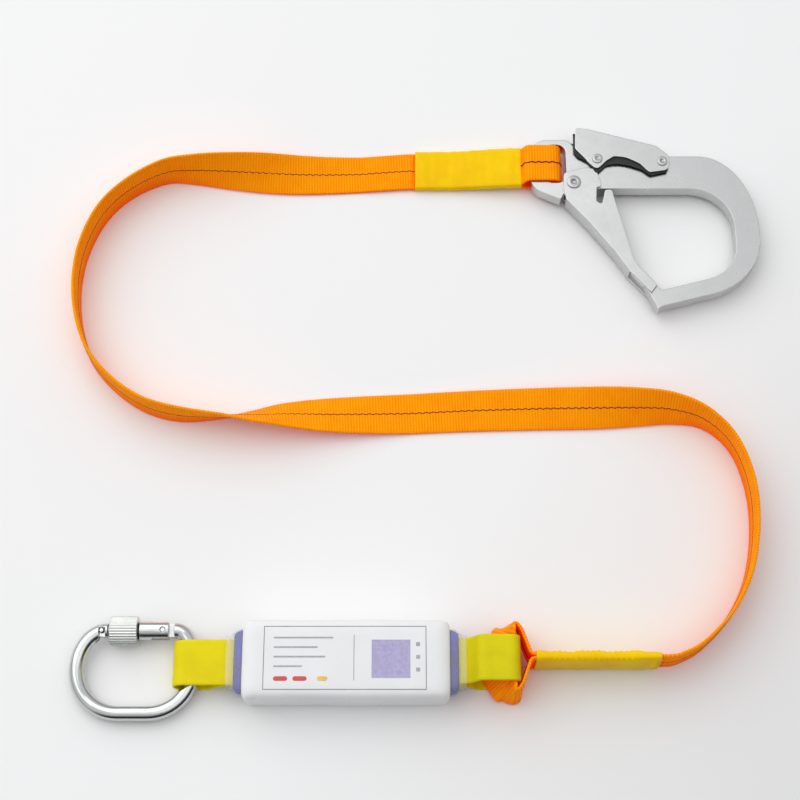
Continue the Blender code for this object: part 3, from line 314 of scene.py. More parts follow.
def rounded(corners, step_angle=10.0):
    """An open line whose corners, given as x, y, radius, are rounded."""
    points = [tuple(corners[0][:2])]
    for before, corner, after in zip(corners, corners[1:], corners[2:]):
        here = Vector(corner[:2])
        back = (Vector(before[:2]) - here).normalized()
        ahead = (Vector(after[:2]) - here).normalized()
        half = back.angle(ahead) / 2
        radius = corner[2]
        centre = here + (back + ahead).normalized() * (radius / math.sin(half))
        first = here + back * (radius / math.tan(half)) - centre
        last = here + ahead * (radius / math.tan(half)) - centre
        start = math.atan2(first.y, first.x)
        sweep = (math.atan2(last.y, last.x) - start + math.pi) % (2 * math.pi) - math.pi
        steps = max(2, round(abs(math.degrees(sweep)) / step_angle))
        for n in range(steps + 1):
            turn = start + sweep * n / steps
            points.append((centre.x + radius * math.cos(turn), centre.y + radius * math.sin(turn)))
    points.append(tuple(corners[-1][:2]))
    return points


def even(points, step):
    """The same line with its points a step apart, and its end unless that is very near the last of them."""
    points = [Vector(p) for p in points]
    out = [points[0]]
    left = step
    for a, b in zip(points, points[1:]):
        run = (b - a).length
        at = left
        while at < run:
            out.append(a.lerp(b, at / run))
            at += step
        left = at - run
    if (out[-1] - points[-1]).length > step * LAST_STEP:
        out.append(points[-1])
    return out


def tangents(points):
    last = len(points) - 1
    return [(points[min(i + 1, last)] - points[max(i - 1, 0)]).normalized() for i in range(len(points))]


def rolled(stations):
    """Middle points and across directions of a band from x, y, z and roll in degrees."""
    centres = [Vector(s[:3]) for s in stations]
    across = []
    for way, station in zip(tangents(centres), stations):
        side = way.cross(Vector((0, 0, 1))).normalized()
        up = side.cross(way)
        turn = math.radians(station[3])
        across.append(side * math.cos(turn) + up * math.sin(turn))
    return centres, across


def roll_height(roll):
    """How high the webbing's middle lies when it is rolled and its lower edge is on the floor."""
    turn = math.radians(roll)
    return FLOOR_GAP + WEB_W / 2 * abs(math.sin(turn)) + WEB_T / 2 * abs(math.cos(turn))


def new_object(name, data, material):
    obj = bpy.data.objects.new(name, data)
    bpy.context.scene.collection.objects.link(obj)
    obj.data.materials.append(material)
    return obj


def from_shape(name, shape, material):
    """An object made of a finished bmesh, which is freed."""
    mesh = bpy.data.meshes.new(name)
    shape.to_mesh(mesh)
    shape.free()
    return new_object(name, mesh, material)


def from_curve(name, curve, material):
    """A mesh object made of a curve."""
    guide = bpy.data.objects.new(name, curve)
    mesh = bpy.data.meshes.new_from_object(guide)
    bpy.data.objects.remove(guide)
    mesh.name = name
    mesh.materials.clear()
    return new_object(name, mesh, material)


def add_line(curve, points):
    """A line of straight pieces in a curve."""
    spline = curve.splines.new("POLY")
    spline.points.add(len(points) - 1)
    for point, place in zip(spline.points, points):
        point.co = (*place, 1.0)
    return spline


def thicken(obj, wall):
    """Gives a skin a wall, against its normals."""
    thick = obj.modifiers.new("wall", "SOLIDIFY")
    thick.thickness = wall
    thick.offset = -1.0


def band(name, centres, across, width, thickness, material):
    """A woven band with soft edges along a line; its texture runs in metres along and across."""
    shape = bmesh.new()
    layer = shape.loops.layers.uv.new("run")
    edge = thickness * BAND_EDGE
    half_w = width / 2
    half_t = thickness / 2
    half = [(f * (half_w - edge), half_t) for f in BAND_FLAT]
    half += [(half_w - edge * inset, half_t * height) for inset, height in BAND_SIDE]
    section = half + [(-a, -h) for a, h in half]
    count = len(section)
    rings = []
    for centre, side, way in zip(centres, across, tangents(centres)):
        up = side.cross(way)
        rings.append([shape.verts.new(centre + side * a + up * h) for a, h in section])
    runs = [0.0]
    for a, b in zip(centres, centres[1:]):
        runs.append(runs[-1] + (b - a).length)
    for i, (a, b) in enumerate(zip(rings, rings[1:])):
        for k in range(count):
            j = (k + 1) % count
            quad = shape.faces.new((a[k], a[j], b[j], b[k]))
            quad.smooth = True
            for loop, (r, s) in zip(quad.loops, ((i, k), (i, j), (i + 1, j), (i + 1, k))):
                loop[layer].uv = (runs[r], section[s][0] + half_w)
    shape.faces.new(list(reversed(rings[0])))
    shape.faces.new(rings[-1])
    bmesh.ops.recalc_face_normals(shape, faces=shape.faces)
    return from_shape(name, shape, material)


def stitches(name, lines, material):
    """Zigzag thread along the faces of bands; each line is centres, across, rise and offset across."""
    curve = bpy.data.curves.new(name, "CURVE")
    curve.dimensions = "3D"
    curve.bevel_depth = STITCH_R
    curve.bevel_resolution = 1
    curve.use_fill_caps = True
    for centres, across, rise, offset in lines:
        points = []
        way = tangents(centres)
        run = 0.0
        due = 0.0
        side = 1
        for i in range(len(centres) - 1):
            step = (centres[i + 1] - centres[i]).length
            while due <= run + step:
                t = (due - run) / step
                centre = centres[i].lerp(centres[i + 1], t)
                cross = across[i].lerp(across[i + 1], t).normalized()
                up = cross.cross(way[i]).normalized()
                points.append(centre + cross * (offset + side * STITCH_SWING) + up * rise)
                side = -side
                due += STITCH_PITCH
            run += step
        add_line(curve, points)
    return from_curve(name, curve, material)


def loft(name, rings, material, wall):
    """A skin through rings of points, thickened inwards."""
    shape = bmesh.new()
    made = [[shape.verts.new(p) for p in ring] for ring in rings]
    count = len(made[0])
    for a, b in zip(made, made[1:]):
        for i in range(count):
            j = (i + 1) % count
            shape.faces.new((a[i], a[j], b[j], b[i])).smooth = True
    bmesh.ops.recalc_face_normals(shape, faces=shape.faces)
    obj = from_shape(name, shape, material)
    thicken(obj, wall)
    return obj


def oval(centre, half_y, half_z, power, count, wobble=None):
    """A ring in the YZ plane: an ellipse at power 2, and more like a box the higher the power."""
    ring = []
    for i in range(count):
        turn = 2 * math.pi * i / count
        c, s = math.cos(turn), math.sin(turn)
        y = math.copysign(abs(c) ** (2 / power), c) * half_y
        z = math.copysign(abs(s) ** (2 / power), s) * half_z
        grow = 1.0 + (wobble(turn) if wobble else 0.0)
        ring.append(Vector((centre[0], centre[1] + y * grow, centre[2] + z * grow)))
    return ring


class Tree:
    """A node tree under construction. An output is given as a pair: its node, and its name or number."""

    def __init__(self, tree):
        self.tree = tree

    def add(self, kind, **values):
        """A node; a value is for the socket of that name, with _ for a space, or else for the property."""
        node = self.tree.nodes.new(kind)
        for key, value in values.items():
            socket = key.replace("_", " ")
            if socket in node.inputs:
                node.inputs[socket].default_value = value
            else:
                setattr(node, key, value)
        return node

    def link(self, source, node, socket):
        giver, output = source
        self.tree.links.new(giver.outputs[output], node.inputs[socket])

    def ramp(self, source, stops):
        """A colour for each level of an output."""
        node = self.add("ShaderNodeValToRGB")
        node.color_ramp.elements[0].position = stops[0][0]
        node.color_ramp.elements[0].color = (*stops[0][1], 1)
        node.color_ramp.elements[1].position = stops[-1][0]
        node.color_ramp.elements[1].color = (*stops[-1][1], 1)
        for level, colour in stops[1:-1]:
            node.color_ramp.elements.new(level).color = (*colour, 1)
        self.link(source, node, "Fac")
        return node, "Color"

    def mix(self, factor, a, b):
        """Colour a where the factor is 0 and b where it is 1; either is a colour or an output."""
        node = self.add("ShaderNodeMix", data_type="RGBA")
        self.link(factor, node, MIX_FACTOR)
        for socket, value in ((MIX_A, a), (MIX_B, b)):
            if len(value) == 2:
                self.link(value, node, socket)
            else:
                node.inputs[socket].default_value = (*value, 1)
        return node, MIX_OUT

    def times(self, source, factor, plus=None):
        """An output times a factor, plus another output if there is one."""
        node = self.add("ShaderNodeMath", operation="MULTIPLY_ADD" if plus else "MULTIPLY")
        node.inputs[1].default_value = factor
        self.link(source, node, 0)
        if plus:
            self.link(plus, node, 2)
        return node, "Value"

    def reach(self, source, way):
        """How far a vector goes along a way."""
        node = self.add("ShaderNodeVectorMath", operation="DOT_PRODUCT")
        node.inputs[1].default_value = way
        self.link(source, node, 0)
        return node, "Value"

    def step(self, source, start, end):
        """From 0 at the start to 1 at the end, level at both."""
        node = self.add("ShaderNodeMapRange", interpolation_type="SMOOTHSTEP", From_Min=start, From_Max=end)
        self.link(source, node, "Value")
        return node, "Result"


class Finish(Tree):
    """A material under construction."""

    def __init__(self, name):
        self.material = bpy.data.materials.new(name)
        self.material.use_nodes = True
        super().__init__(self.material.node_tree)
        self.shader = self.tree.nodes["Principled BSDF"]

    def set(self, **values):
        for key, value in values.items():
            self.shader.inputs[key.replace("_", " ")].default_value = value

    def place(self):
        """The place on the object, in metres."""
        return self.add("ShaderNodeTexCoord"), "Object"

    def shelter(self, distance, closed, open_):
        """From 0 in corners that little light reaches to 1 on open faces."""
        node = self.add("ShaderNodeAmbientOcclusion", Distance=distance, samples=8)
        return self.ramp((node, "AO"), [(closed, (0, 0, 0)), (open_, (1, 1, 1))])

    def bump(self, source, strength, distance, under=None):
        """Relief from an output, over other relief if there is any."""
        node = self.add("ShaderNodeBump", Strength=strength, Distance=distance)
        self.link(source, node, "Height")
        if under:
            self.link(under, node, "Normal")
        self.link((node, "Normal"), self.shader, "Normal")
        return node, "Normal"


def webbing_finish(name, light, dark, shade_and_glow_red, rib, roughness, depth):
    """Woven webbing: ribs across, yarns along, patchy dye, painted deep-red shade where little light reaches,
    and a faint painted glow in that red.
    """
    m = Finish(name)
    run = (m.add("ShaderNodeUVMap", uv_map="run"), "UV")
    yarn = rib * 0.8
    ribs = m.add("ShaderNodeTexWave", wave_type="BANDS", bands_direction="X", Scale=WAVE_PERIOD / rib,
                 Distortion=0.6, Detail=1.0, Detail_Scale=6.0)
    yarns = m.add("ShaderNodeTexWave", wave_type="BANDS", bands_direction="Y", Scale=WAVE_PERIOD / yarn,
                  Distortion=0.3)
    patches = m.add("ShaderNodeTexNoise", Scale=55.0, Detail=5.0, Roughness=0.6)
    for node in (ribs, yarns, patches):
        m.link(run, node, "Vector")
    weave = m.times((yarns, "Fac"), 0.35, plus=(ribs, "Fac"))
    shade = m.times((patches, "Fac"), 0.55, plus=m.times(weave, 0.42))
    colour = m.ramp(shade, [(0.22, dark), (0.72, light)])
    # Painted shade: deep red is mixed in where the occlusion mask finds little light
    shade_painted_colour = m.mix(m.shelter(distance=0.03, closed=0.20, open_=0.88), shade_and_glow_red, colour)
    m.link(shade_painted_colour, m.shader, "Base Color")
    m.bump(weave, strength=0.6, distance=depth)
    # Painted glow: the webbing gives off a faint deep-red light of its own, lifting its shaded faces
    m.set(Roughness=roughness, Specular_IOR_Level=0.06, Emission_Color=(*shade_and_glow_red, 1), Emission_Strength=0.19)
    return m.material


def plastic_finish(name, light, dark, roughness, grain, bump, gloss, folds):
    """Plastic or coated cloth with faint mottling, grain and soft creases."""
    m = Finish(name)
    place = m.place()
    mottle = m.add("ShaderNodeTexNoise", Scale=38.0, Detail=4.0, Roughness=0.6)
    fine = m.add("ShaderNodeTexNoise", Scale=grain, Detail=3.0, Roughness=0.55)
    crease = m.add("ShaderNodeTexNoise", Scale=26.0, Detail=2.0, Distortion=1.2)
    for node in (mottle, fine, crease):
        m.link(place, node, "Vector")
    m.link(m.ramp((mottle, "Fac"), [(0.32, dark), (0.66, light)]), m.shader, "Base Color")
    rough = m.ramp((fine, "Fac"), [(0.3, (roughness * 0.8,) * 3), (0.7, (roughness * 1.2,) * 3)])
    m.link(rough, m.shader, "Roughness")
    low = m.bump((fine, "Fac"), strength=0.35, distance=bump)
    m.bump((crease, "Fac"), strength=0.5, distance=folds, under=low)
    m.set(Specular_IOR_Level=gloss)
    return m.material


def metal_finish(name, colour, roughness, spread, scratch, stretch=(1, 1, 1), dark=0.9, corner_shade_grey=0.10):
    """Plated steel: fine brushing, cloudy plating, duller patches and painted shade in the corners."""
    m = Finish(name)
    place = m.place()
    turn = m.add("ShaderNodeMapping", Scale=stretch)
    cloud = m.add("ShaderNodeTexNoise", Scale=70.0, Detail=5.0, Roughness=0.65)
    brush = m.add("ShaderNodeTexNoise", Scale=900.0, Detail=2.0)
    m.link(place, turn, "Vector")
    m.link(place, cloud, "Vector")
    m.link((turn, "Vector"), brush, "Vector")
    tint = m.ramp((cloud, "Fac"), [(0.3, tuple(c * dark for c in colour)), (0.7, colour)])
    # Painted shade: the colour drops to a dark grey in corners and gaps that little light reaches
    corner_shaded_tint = m.mix(m.shelter(distance=0.005, closed=0.12, open_=0.6), (corner_shade_grey,) * 3, tint)
    m.link(corner_shaded_tint, m.shader, "Base Color")
    rough = m.ramp((cloud, "Fac"), [(0.25, (roughness + spread,) * 3), (0.75, (roughness,) * 3)])
    m.link(rough, m.shader, "Roughness")
    edge = m.add("ShaderNodeBevel", Radius=EDGE_R, samples=8)
    m.bump((brush, "Fac"), strength=scratch, distance=BRUSH_DEPTH, under=(edge, "Normal"))
    m.set(Metallic=1.0)
    return m.material


def plain_finish(name, colour, roughness):
    """One colour with a fine grain."""
    m = Finish(name)
    noise = m.add("ShaderNodeTexNoise", Scale=400.0, Detail=2.0)
    m.link(m.place(), noise, "Vector")
    tint = m.ramp((noise, "Fac"), [(0.3, tuple(c * 0.8 for c in colour)), (0.7, colour)])
    m.link(tint, m.shader, "Base Color")
    m.set(Roughness=roughness)
    return m.material


def clear_finish(name):
    """Clear, creased film."""
    m = Finish(name)
    crease = m.add("ShaderNodeTexNoise", Scale=60.0, Detail=3.0, Distortion=1.5)
    m.link(m.place(), crease, "Vector")
    m.bump((crease, "Fac"), strength=0.6, distance=0.0012)
    m.set(Base_Color=(0.93, 0.94, 0.95, 1.0), Roughness=0.14, Alpha=0.13, IOR=1.3)
    return m.material


# Its deep red is painted shade in corners and the colour of its painted glow
WEBBING = webbing_finish("orange_webbing", light=(0.92, 0.40, 0.001), dark=(0.90, 0.23, 0.001),
                         shade_and_glow_red=(0.90, 0.030, 0.002), rib=0.0024, roughness=0.8, depth=0.0006)
THREAD = plain_finish("dark_thread", (0.16, 0.018, 0.005), roughness=0.7)
SLEEVE = plastic_finish("yellow_sleeve", light=(1.0, 0.66, 0.001), dark=(0.94, 0.55, 0.001), roughness=0.45,
                        grain=420.0, bump=0.0003, gloss=0.08, folds=0.0007)
LOOP = plastic_finish("yellow_loop", light=(0.88, 0.74, 0.004), dark=(0.80, 0.65, 0.003), roughness=0.42,
                      grain=520.0, bump=0.0003, gloss=0.12, folds=0.0003)
GREEN_LOOP = plastic_finish("olive_loop", light=(0.76, 0.67, 0.004), dark=(0.66, 0.57, 0.003),
                            roughness=0.42, grain=520.0, bump=0.0003, gloss=0.12, folds=0.0003)
COVER = plastic_finish("white_cover", light=(0.88, 0.88, 0.885), dark=(0.85, 0.85, 0.86), roughness=0.34,
                       grain=300.0, bump=0.0002, gloss=0.4, folds=0.00025)
WRAP = plastic_finish("blue_wrap", light=(0.022, 0.034, 0.52), dark=(0.006, 0.010, 0.22), roughness=0.4,
                      grain=300.0, bump=0.0004, gloss=0.15, folds=0.0012)
STEEL = metal_finish("hook_steel", (0.65, 0.65, 0.65), roughness=0.25, spread=0.08, scratch=0.05,
                     stretch=(0.25, 1.6, 1.0), dark=0.92)
RIVET = metal_finish("rivet_steel", (0.55, 0.55, 0.55), roughness=0.38, spread=0.10, scratch=0.10,
                     corner_shade_grey=0.03)
BRIGHT = metal_finish("carabiner_steel", (0.64, 0.655, 0.65), roughness=0.09, spread=0.06, scratch=0.04)
DULL = metal_finish("sleeve_steel", (0.80, 0.82, 0.79), roughness=0.32, spread=0.12, scratch=0.15)
WIRE = metal_finish("spring_wire", (0.32, 0.32, 0.33), roughness=0.35, spread=0.1, scratch=0.1)
# Near-black sheets that paint the shade in the lever's gap
SHADE_SHEET = plain_finish("painted_shade_sheet", (0.012, 0.012, 0.013), roughness=0.5)
PRINTS = [plain_finish(name, colour, roughness=0.5) for name, colour in (
    ("print_grey", (0.16, 0.16, 0.18)),
    ("print_pale_grey", (0.46, 0.46, 0.50)),
    ("print_lavender", (0.50, 0.45, 0.72)),
    ("print_red", (0.75, 0.09, 0.08)),
    ("print_yellow", (0.90, 0.62, 0.12)),
)]
FILM = clear_finish("clear_film")


def make_camera():
    data = bpy.data.cameras.new("camera")
    data.lens = LENS_MM
    data.sensor_width = SENSOR_MM
    data.clip_end = CAMERA_REACH
    camera = bpy.data.objects.new("camera", data)
    camera.location = CAMERA_AT
    camera.rotation_euler = (math.radians(CAMERA_TILT), 0.0, 0.0)
    bpy.context.scene.collection.objects.link(camera)
    bpy.context.scene.camera = camera


def make_strap():
    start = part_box("hook_end_sleeve")[0][0]
    pack_low, pack_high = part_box("absorber_end_sleeve")
    end = pack_high[0]
    end_y = (pack_low[1] + pack_high[1]) / 2
    route = [(start + SEAM, HOOK_AT.y, 0, SLEEVE_LIFT), (start - SEAM, HOOK_AT.y, 0, SLEEVE_LIFT)]
    route += [(x, y, roll, 0.0) for x, y, roll in ROUTE]
    route.append((end + 3 * SEAM, end_y + SEAM / 2, -90, 0.0))
    route += [(end + SEAM, end_y, -90, SLEEVE_LIFT), (end - SEAM, end_y, -90, SLEEVE_LIFT)]
    stations = []
    for x, y, roll, lift in smooth(route, ROUTE_STEPS):
        stations.append((x, y, roll_height(roll) + max(lift, 0.0), roll))
    centres, across = rolled(stations)
    strap = band("strap_webbing", centres, across, WEB_W, WEB_T, WEBBING)
    sewing = stitches("strap_stitching", [(centres, across, STITCH_RISE, 0.0),
                                          (centres, across, -STITCH_RISE, 0.0)], THREAD)
    for piece in (strap, sewing):
        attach(piece, "absorber")
    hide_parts("lanyard_strap")


def sleeve_rise(x):
    """How far the strap has risen towards the hook's eye at a place along the hook sleeve."""
    low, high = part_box("hook_end_sleeve")
    return SLEEVE_RISE * ease((x - low[0]) / (high[0] - low[0]), SLEEVE_RISE_FROM, 1.0)


def make_hook_loop():
    low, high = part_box("hook_end_sleeve")
    tail = low[0] + HOOK_TAIL_IN
    mouth = high[0]
    first = FLOOR_GAP + SLEEVE_LIFT + WEB_T / 2
    second = first + WEB_T + FLOOR_GAP
    top = HOOK_AT.z + HOOK_T / 2 + FLOOR_GAP + WEB_T / 2
    bottom = HOOK_AT.z - HOOK_T / 2 - FLOOR_GAP - WEB_T / 2
    over = HOOK_AT.x - HOOK_T / 2 - WEB_T
    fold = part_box("hook_end_loop")[1][0] - WEB_T / 2
    places = [tail + (mouth - tail) * i / HOOK_TAIL_STEPS for i in range(HOOK_TAIL_STEPS + 1)]
    under = [(x, first + sleeve_rise(x)) for x in places]
    above = [(x, second + sleeve_rise(x)) for x in reversed(places)]
    turn = rounded([
        under[-1], (mouth + LOWER_LEAVE, first + SLEEVE_RISE, LOWER_LEAVE_R), (over, bottom, LOWER_BEND_R),
        (fold, bottom, HOOK_FOLD_R), (fold, top, HOOK_FOLD_R), (over, top, UPPER_BEND_R),
        (mouth + UPPER_LEAVE, second + SLEEVE_RISE, UPPER_LEAVE_R), above[0],
    ])
    line = under[:-1] + turn + above[1:]
    centres = even([Vector((x, HOOK_AT.y, z)) for x, z in line], HOOK_LOOP_STEP)
    across = [Vector((0, -1, 0))] * len(centres)
    loop = band("hook_loop_webbing", centres, across, WEB_W, WEB_T, WEBBING)
    sewing = stitches("hook_loop_stitching", [(centres, across, -LOOP_STITCH_RISE, 0.0)], THREAD)
    for piece in (loop, sewing):
        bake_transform(piece)
    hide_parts("hook_end_loop")


def make_hook_sleeve():
    """The hook's sleeve, with a wavy skin, slimmer towards the strap and rising with the webbing in it."""
    low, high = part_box("hook_end_sleeve")
    mid = [(a + b) / 2 for a, b in zip(low, high)]
    start = low[0] + HOOK_SLEEVE_TRIM
    end = high[0] + HOOK_SLEEVE_OVER
    rings = []
    for i in range(HOOK_SLEEVE_STEPS + 1):
        t = i / HOOK_SLEEVE_STEPS
        x = start + (end - start) * t
        wave = ripple(t, HOOK_SLEEVE_WAVES)
        half_y = (high[1] - low[1]) / 2 - HOOK_SLEEVE_SLIM_Y * (1 - t) + wave
        half_z = (high[2] - low[2]) / 2 - HOOK_SLEEVE_SLIM_Z * (1 - t) + wave
        centre = (x, mid[1], mid[2] + sleeve_rise(x))
        rings.append(oval(centre, half_y, half_z, HOOK_SLEEVE_POWER, HOOK_SLEEVE_SIDES))
    sleeve = loft("hook_sleeve", rings, SLEEVE, SLEEVE_WALL)
    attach(sleeve, "absorber")
    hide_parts("hook_end_sleeve")


def knot_line(height):
    """Swells a ring where a row of knots runs along the sleeve's upper part."""
    return lambda turn: height * math.exp(-((math.sin(turn) - KNOT_LINE) / KNOT_SPREAD) ** 2)


def make_pack_sleeve():
    """The pack's sleeve, on edge: a wavy skin with a row of small knots, and the loose corner of its tape."""
    low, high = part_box("absorber_end_sleeve")
    mid = [(a + b) / 2 for a, b in zip(low, high)]
    end = high[0] - PACK_SLEEVE_TRIM
    rings = []
    for i in range(PACK_SLEEVE_STEPS + 1):
        t = i / PACK_SLEEVE_STEPS
        x = low[0] + (end - low[0]) * t
        wave = ripple(t, PACK_SLEEVE_WAVES)
        taper = TAPER * along(t, TAPER_FROM, TAPER_TO)
        half_y = (high[1] - low[1]) / 2 + PACK_SLEEVE_SLACK_Y + wave - taper
        half_z = (high[2] - low[2]) / 2 - PACK_SLEEVE_SLIM_Z + PACK_SLEEVE_WAVE_Z * wave
        knot = 0.0
        if KNOTS_FROM < t < KNOTS_TO:
            knot = KNOT_HEIGHT * max(0.0, math.sin((x - low[0]) * KNOT_TURNS))
        centre = (x, mid[1] + PACK_SLEEVE_SWAY * wave, mid[2])
        rings.append(oval(centre, half_y, half_z, PACK_SLEEVE_POWER, PACK_SLEEVE_SIDES, knot_line(knot)))
    sleeve = loft("pack_sleeve", rings, SLEEVE, SLEEVE_WALL)
    tape = make_tape_end(end, low[1], high[2])
    for piece in (sleeve, tape):
        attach(piece, "absorber")
    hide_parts("absorber_end_sleeve")


def make_tape_end(end, south, top):
    """The loose corner of the tape that the pack sleeve is wound from."""
    shape = bmesh.new()
    made = []
    for i in range(TAPE_ROWS + 1):
        t = i / TAPE_ROWS
        left = end - TAPE_LEFT + TAPE_LEFT_DRIFT * t
        right = end - TAPE_RIGHT - TAPE_RIGHT_DRIFT * t
        y = south + TAPE_TUCK - TAPE_CURL * t * t
        z = top - TAPE_START - TAPE_L * t
        places = [left + (right - left) * k / TAPE_COLUMNS for k in range(TAPE_COLUMNS + 1)]
        made.append([shape.verts.new((x, y, z)) for x in places])
    for a, b in zip(made, made[1:]):
        for k in range(TAPE_COLUMNS):
            shape.faces.new((a[k], a[k + 1], b[k + 1], b[k])).smooth = True
    flap = from_shape("sleeve_tape_end", shape, SLEEVE)
    thicken(flap, SLEEVE_WALL)
    return flap


def make_eye():
    """The strap's sewn eye: out of the pack sleeve, round a corner each side and through the yellow loop."""
    low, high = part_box("absorber_end_sleeve")
    middle = (low[1] + high[1]) / 2
    step = (WEB_T + FLOOR_GAP) / 2
    corner = low[0] - EYE_CORNER_IN
    mouth = low[0] - EYE_MOUTH
    far = high[0] - 2 * SEAM
    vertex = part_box("strap_loop")[1][0] - EYE_FROM_FOLD
    loop_lift = LOOP_T + 3 * FLOOR_GAP
    outline = rounded([
        (far - SEAM, step), (mouth, step, EYE_CORNER_R), (corner, EYE_SPAN, EYE_CORNER_R),
        (vertex, 0.0, EYE_TURN_R),
        (corner, -EYE_SPAN, EYE_CORNER_R), (mouth, -step, EYE_CORNER_R), (far, -step),
    ], EYE_TURN_STEP)
    line = even(outline, EYE_STEP)
    heights = [p.y for p in line]
    peak = max(heights)
    inside = range(heights.index(peak) + 1, heights.index(min(heights)))
    entry = LOOP_W / 2 + abs(middle) + EYE_ENTRY
    stations = []
    for i, (x, y) in enumerate(line):
        roll = EYE_FLARE + (90 - EYE_FLARE) * min((1 - abs(y) / peak) / EYE_UPRIGHT_BY, 1.0)
        lift = SLEEVE_LIFT
        if i in inside:
            share = min((peak - abs(y)) / (peak - entry), 1.0)
            roll = EYE_FLARE + (EYE_LEAN - EYE_FLARE) * share
            lift += (loop_lift - SLEEVE_LIFT) * share
        stations.append((x, middle + y, roll_height(roll) + lift, -roll))
    centres, across = rolled(stations)
    eye = band("pack_eye_webbing", centres, across, WEB_W, WEB_T, WEBBING)
    sewing = stitches("pack_eye_stitching", [(centres, across, -LOOP_STITCH_RISE, 0.0)], THREAD)
    for piece in (eye, sewing):
        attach(piece, "absorber")
    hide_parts("absorber_end_eye")


def yellow_loop(name, node, side, belly, spread, bend, material):
    """A yellow end loop, at full height from its belly on; its layers spread where they leave the film."""
    film_low, film_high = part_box("clear_film")
    film_end = film_high[0]
    pack_z = (film_low[2] + film_high[2]) / 2
    rest = (LOOP_T + FLOOR_GAP) / 2
    apart = rest + spread
    full = film_end + belly
    low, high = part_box(node)
    fold = max(abs(low[0]), abs(high[0])) - LOOP_T / 2
    top = high[2] - LOOP_T / 2
    bottom = low[2] + LOOP_T / 2
    line = rounded([
        (LOOP_TAIL_AT, pack_z + rest), (LOOP_EXIT_AT, pack_z + rest, LOOP_EXIT_R),
        (film_end, pack_z + apart, LOOP_EXIT_R), (full, top, LOOP_BELLY_R),
        (fold, top, bend), (fold, bottom, bend),
        (full, bottom, LOOP_BELLY_R), (film_end, pack_z - apart, LOOP_EXIT_R),
        (LOOP_EXIT_AT, pack_z - rest, LOOP_EXIT_R), (LOOP_TAIL_AT, pack_z - rest),
    ])
    centres = even([Vector((side * x, 0.0, z)) for x, z in line], LOOP_STEP)
    across = [Vector((0, -side, 0))] * len(centres)
    return band(name, centres, across, LOOP_W, LOOP_T, material)


def make_carabiner_loop():
    loop = yellow_loop("carabiner_loop_band", "carabiner_loop", side=-1, belly=0.0130, spread=0.0,
                       bend=0.0085, material=LOOP)
    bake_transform(loop)
    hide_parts("carabiner_loop")


def make_strap_loop():
    loop = yellow_loop("strap_loop_band", "strap_loop", side=1, belly=0.0075, spread=0.0065,
                       bend=0.0068, material=GREEN_LOOP)
    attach(loop, "absorber")
    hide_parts("strap_loop")


def cover_shape():
    """The cover's middle height and its half sizes along X, Y and Z, with its swell along Y."""
    low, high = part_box("pack_cover")
    return (low[2] + high[2]) / 2, high[0], (high[1] - low[1]) / 2 + COVER_PUFF, (high[2] - low[2]) / 2


def rounding(past, length, depth):
    """How far a quarter-round edge has dropped at a distance past its start."""
    share = along(past, 0.0, length)
    return depth * (1 - math.sqrt(1 - share * share))


def make_cover():
    mid_z, end, half_y, half_z = cover_shape()
    rings = []
    for i in range(COVER_STEPS + 1):
        x = end * math.sin((-1 + 2 * i / COVER_STEPS) * math.pi / 2)
        in_y = rounding(abs(x) - end + COVER_ROUND, COVER_ROUND, COVER_ROUND)
        in_z = rounding(abs(x) - end + COVER_END, COVER_END, COVER_ROUND)
        crease = COVER_CREASE * math.exp(-((abs(x) - end + COVER_END) / COVER_CREASE_W) ** 2)
        swell = ripple(x, COVER_WAVES) - crease
        rings.append(oval((x, 0.0, mid_z), half_y - in_y + swell, half_z - in_z, COVER_POWER, COVER_SIDES))
    cover = loft("cover_film", rings, COVER, COVER_WALL)
    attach(cover, "absorber")
    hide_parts("pack_cover")
    make_label(mid_z, half_y, half_z)


def make_wrap_ends():
    """The blue wrap's two ends, drawn in past the cover."""
    mid_z, end, half_y, half_z = cover_shape()
    for side, name in ((1, "wrap_end_strap"), (-1, "wrap_end_carabiner")):
        rings = []
        for past, pull in WRAP_PROFILE:
            draw = ENDS_IN + pull
            centre = (side * (end + past), 0.0, mid_z)
            rings.append(oval(centre, half_y - draw, half_z - draw, ENDS_POWER, WRAP_SIDES))
        wrap = loft(name, rings, WRAP, WRAP_WALL)
        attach(wrap, "absorber")
        if side == 1:
            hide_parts("inner_wrap", "tear_webbing_upper", "tear_webbing_lower")


def gathers(close):
    """Pleats round a ring, deeper the more the film is drawn in."""
    return lambda turn: GATHER_DEPTH * close * math.sin(GATHERS * turn)


def make_film_ends():
    """The clear film's two ends, gathered round the yellow loops."""
    mid_z, end, half_y, half_z = cover_shape()
    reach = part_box("clear_film")[1][0] - end - FILM_SHORT
    wide = half_y - ENDS_IN + FILM_OVER
    tall = half_z - ENDS_IN + FILM_OVER
    for side, name in ((1, "film_end_strap"), (-1, "film_end_carabiner")):
        rings = []
        for share in FILM_SHARES:
            close = ease(share, FILM_CLOSE_FROM, FILM_CLOSE_TO)
            y = wide * (1 - close) + FILM_MOUTH_Y * close
            z = tall * (1 - close) + FILM_MOUTH_Z * close
            centre = (side * (end + reach * share), 0.0, mid_z)
            rings.append(oval(centre, y, z, ENDS_POWER, FILM_SIDES, gathers(close)))
        film = loft(name, rings, FILM, FILM_WALL)
        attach(film, "absorber")
        if side == 1:
            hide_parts("clear_film")


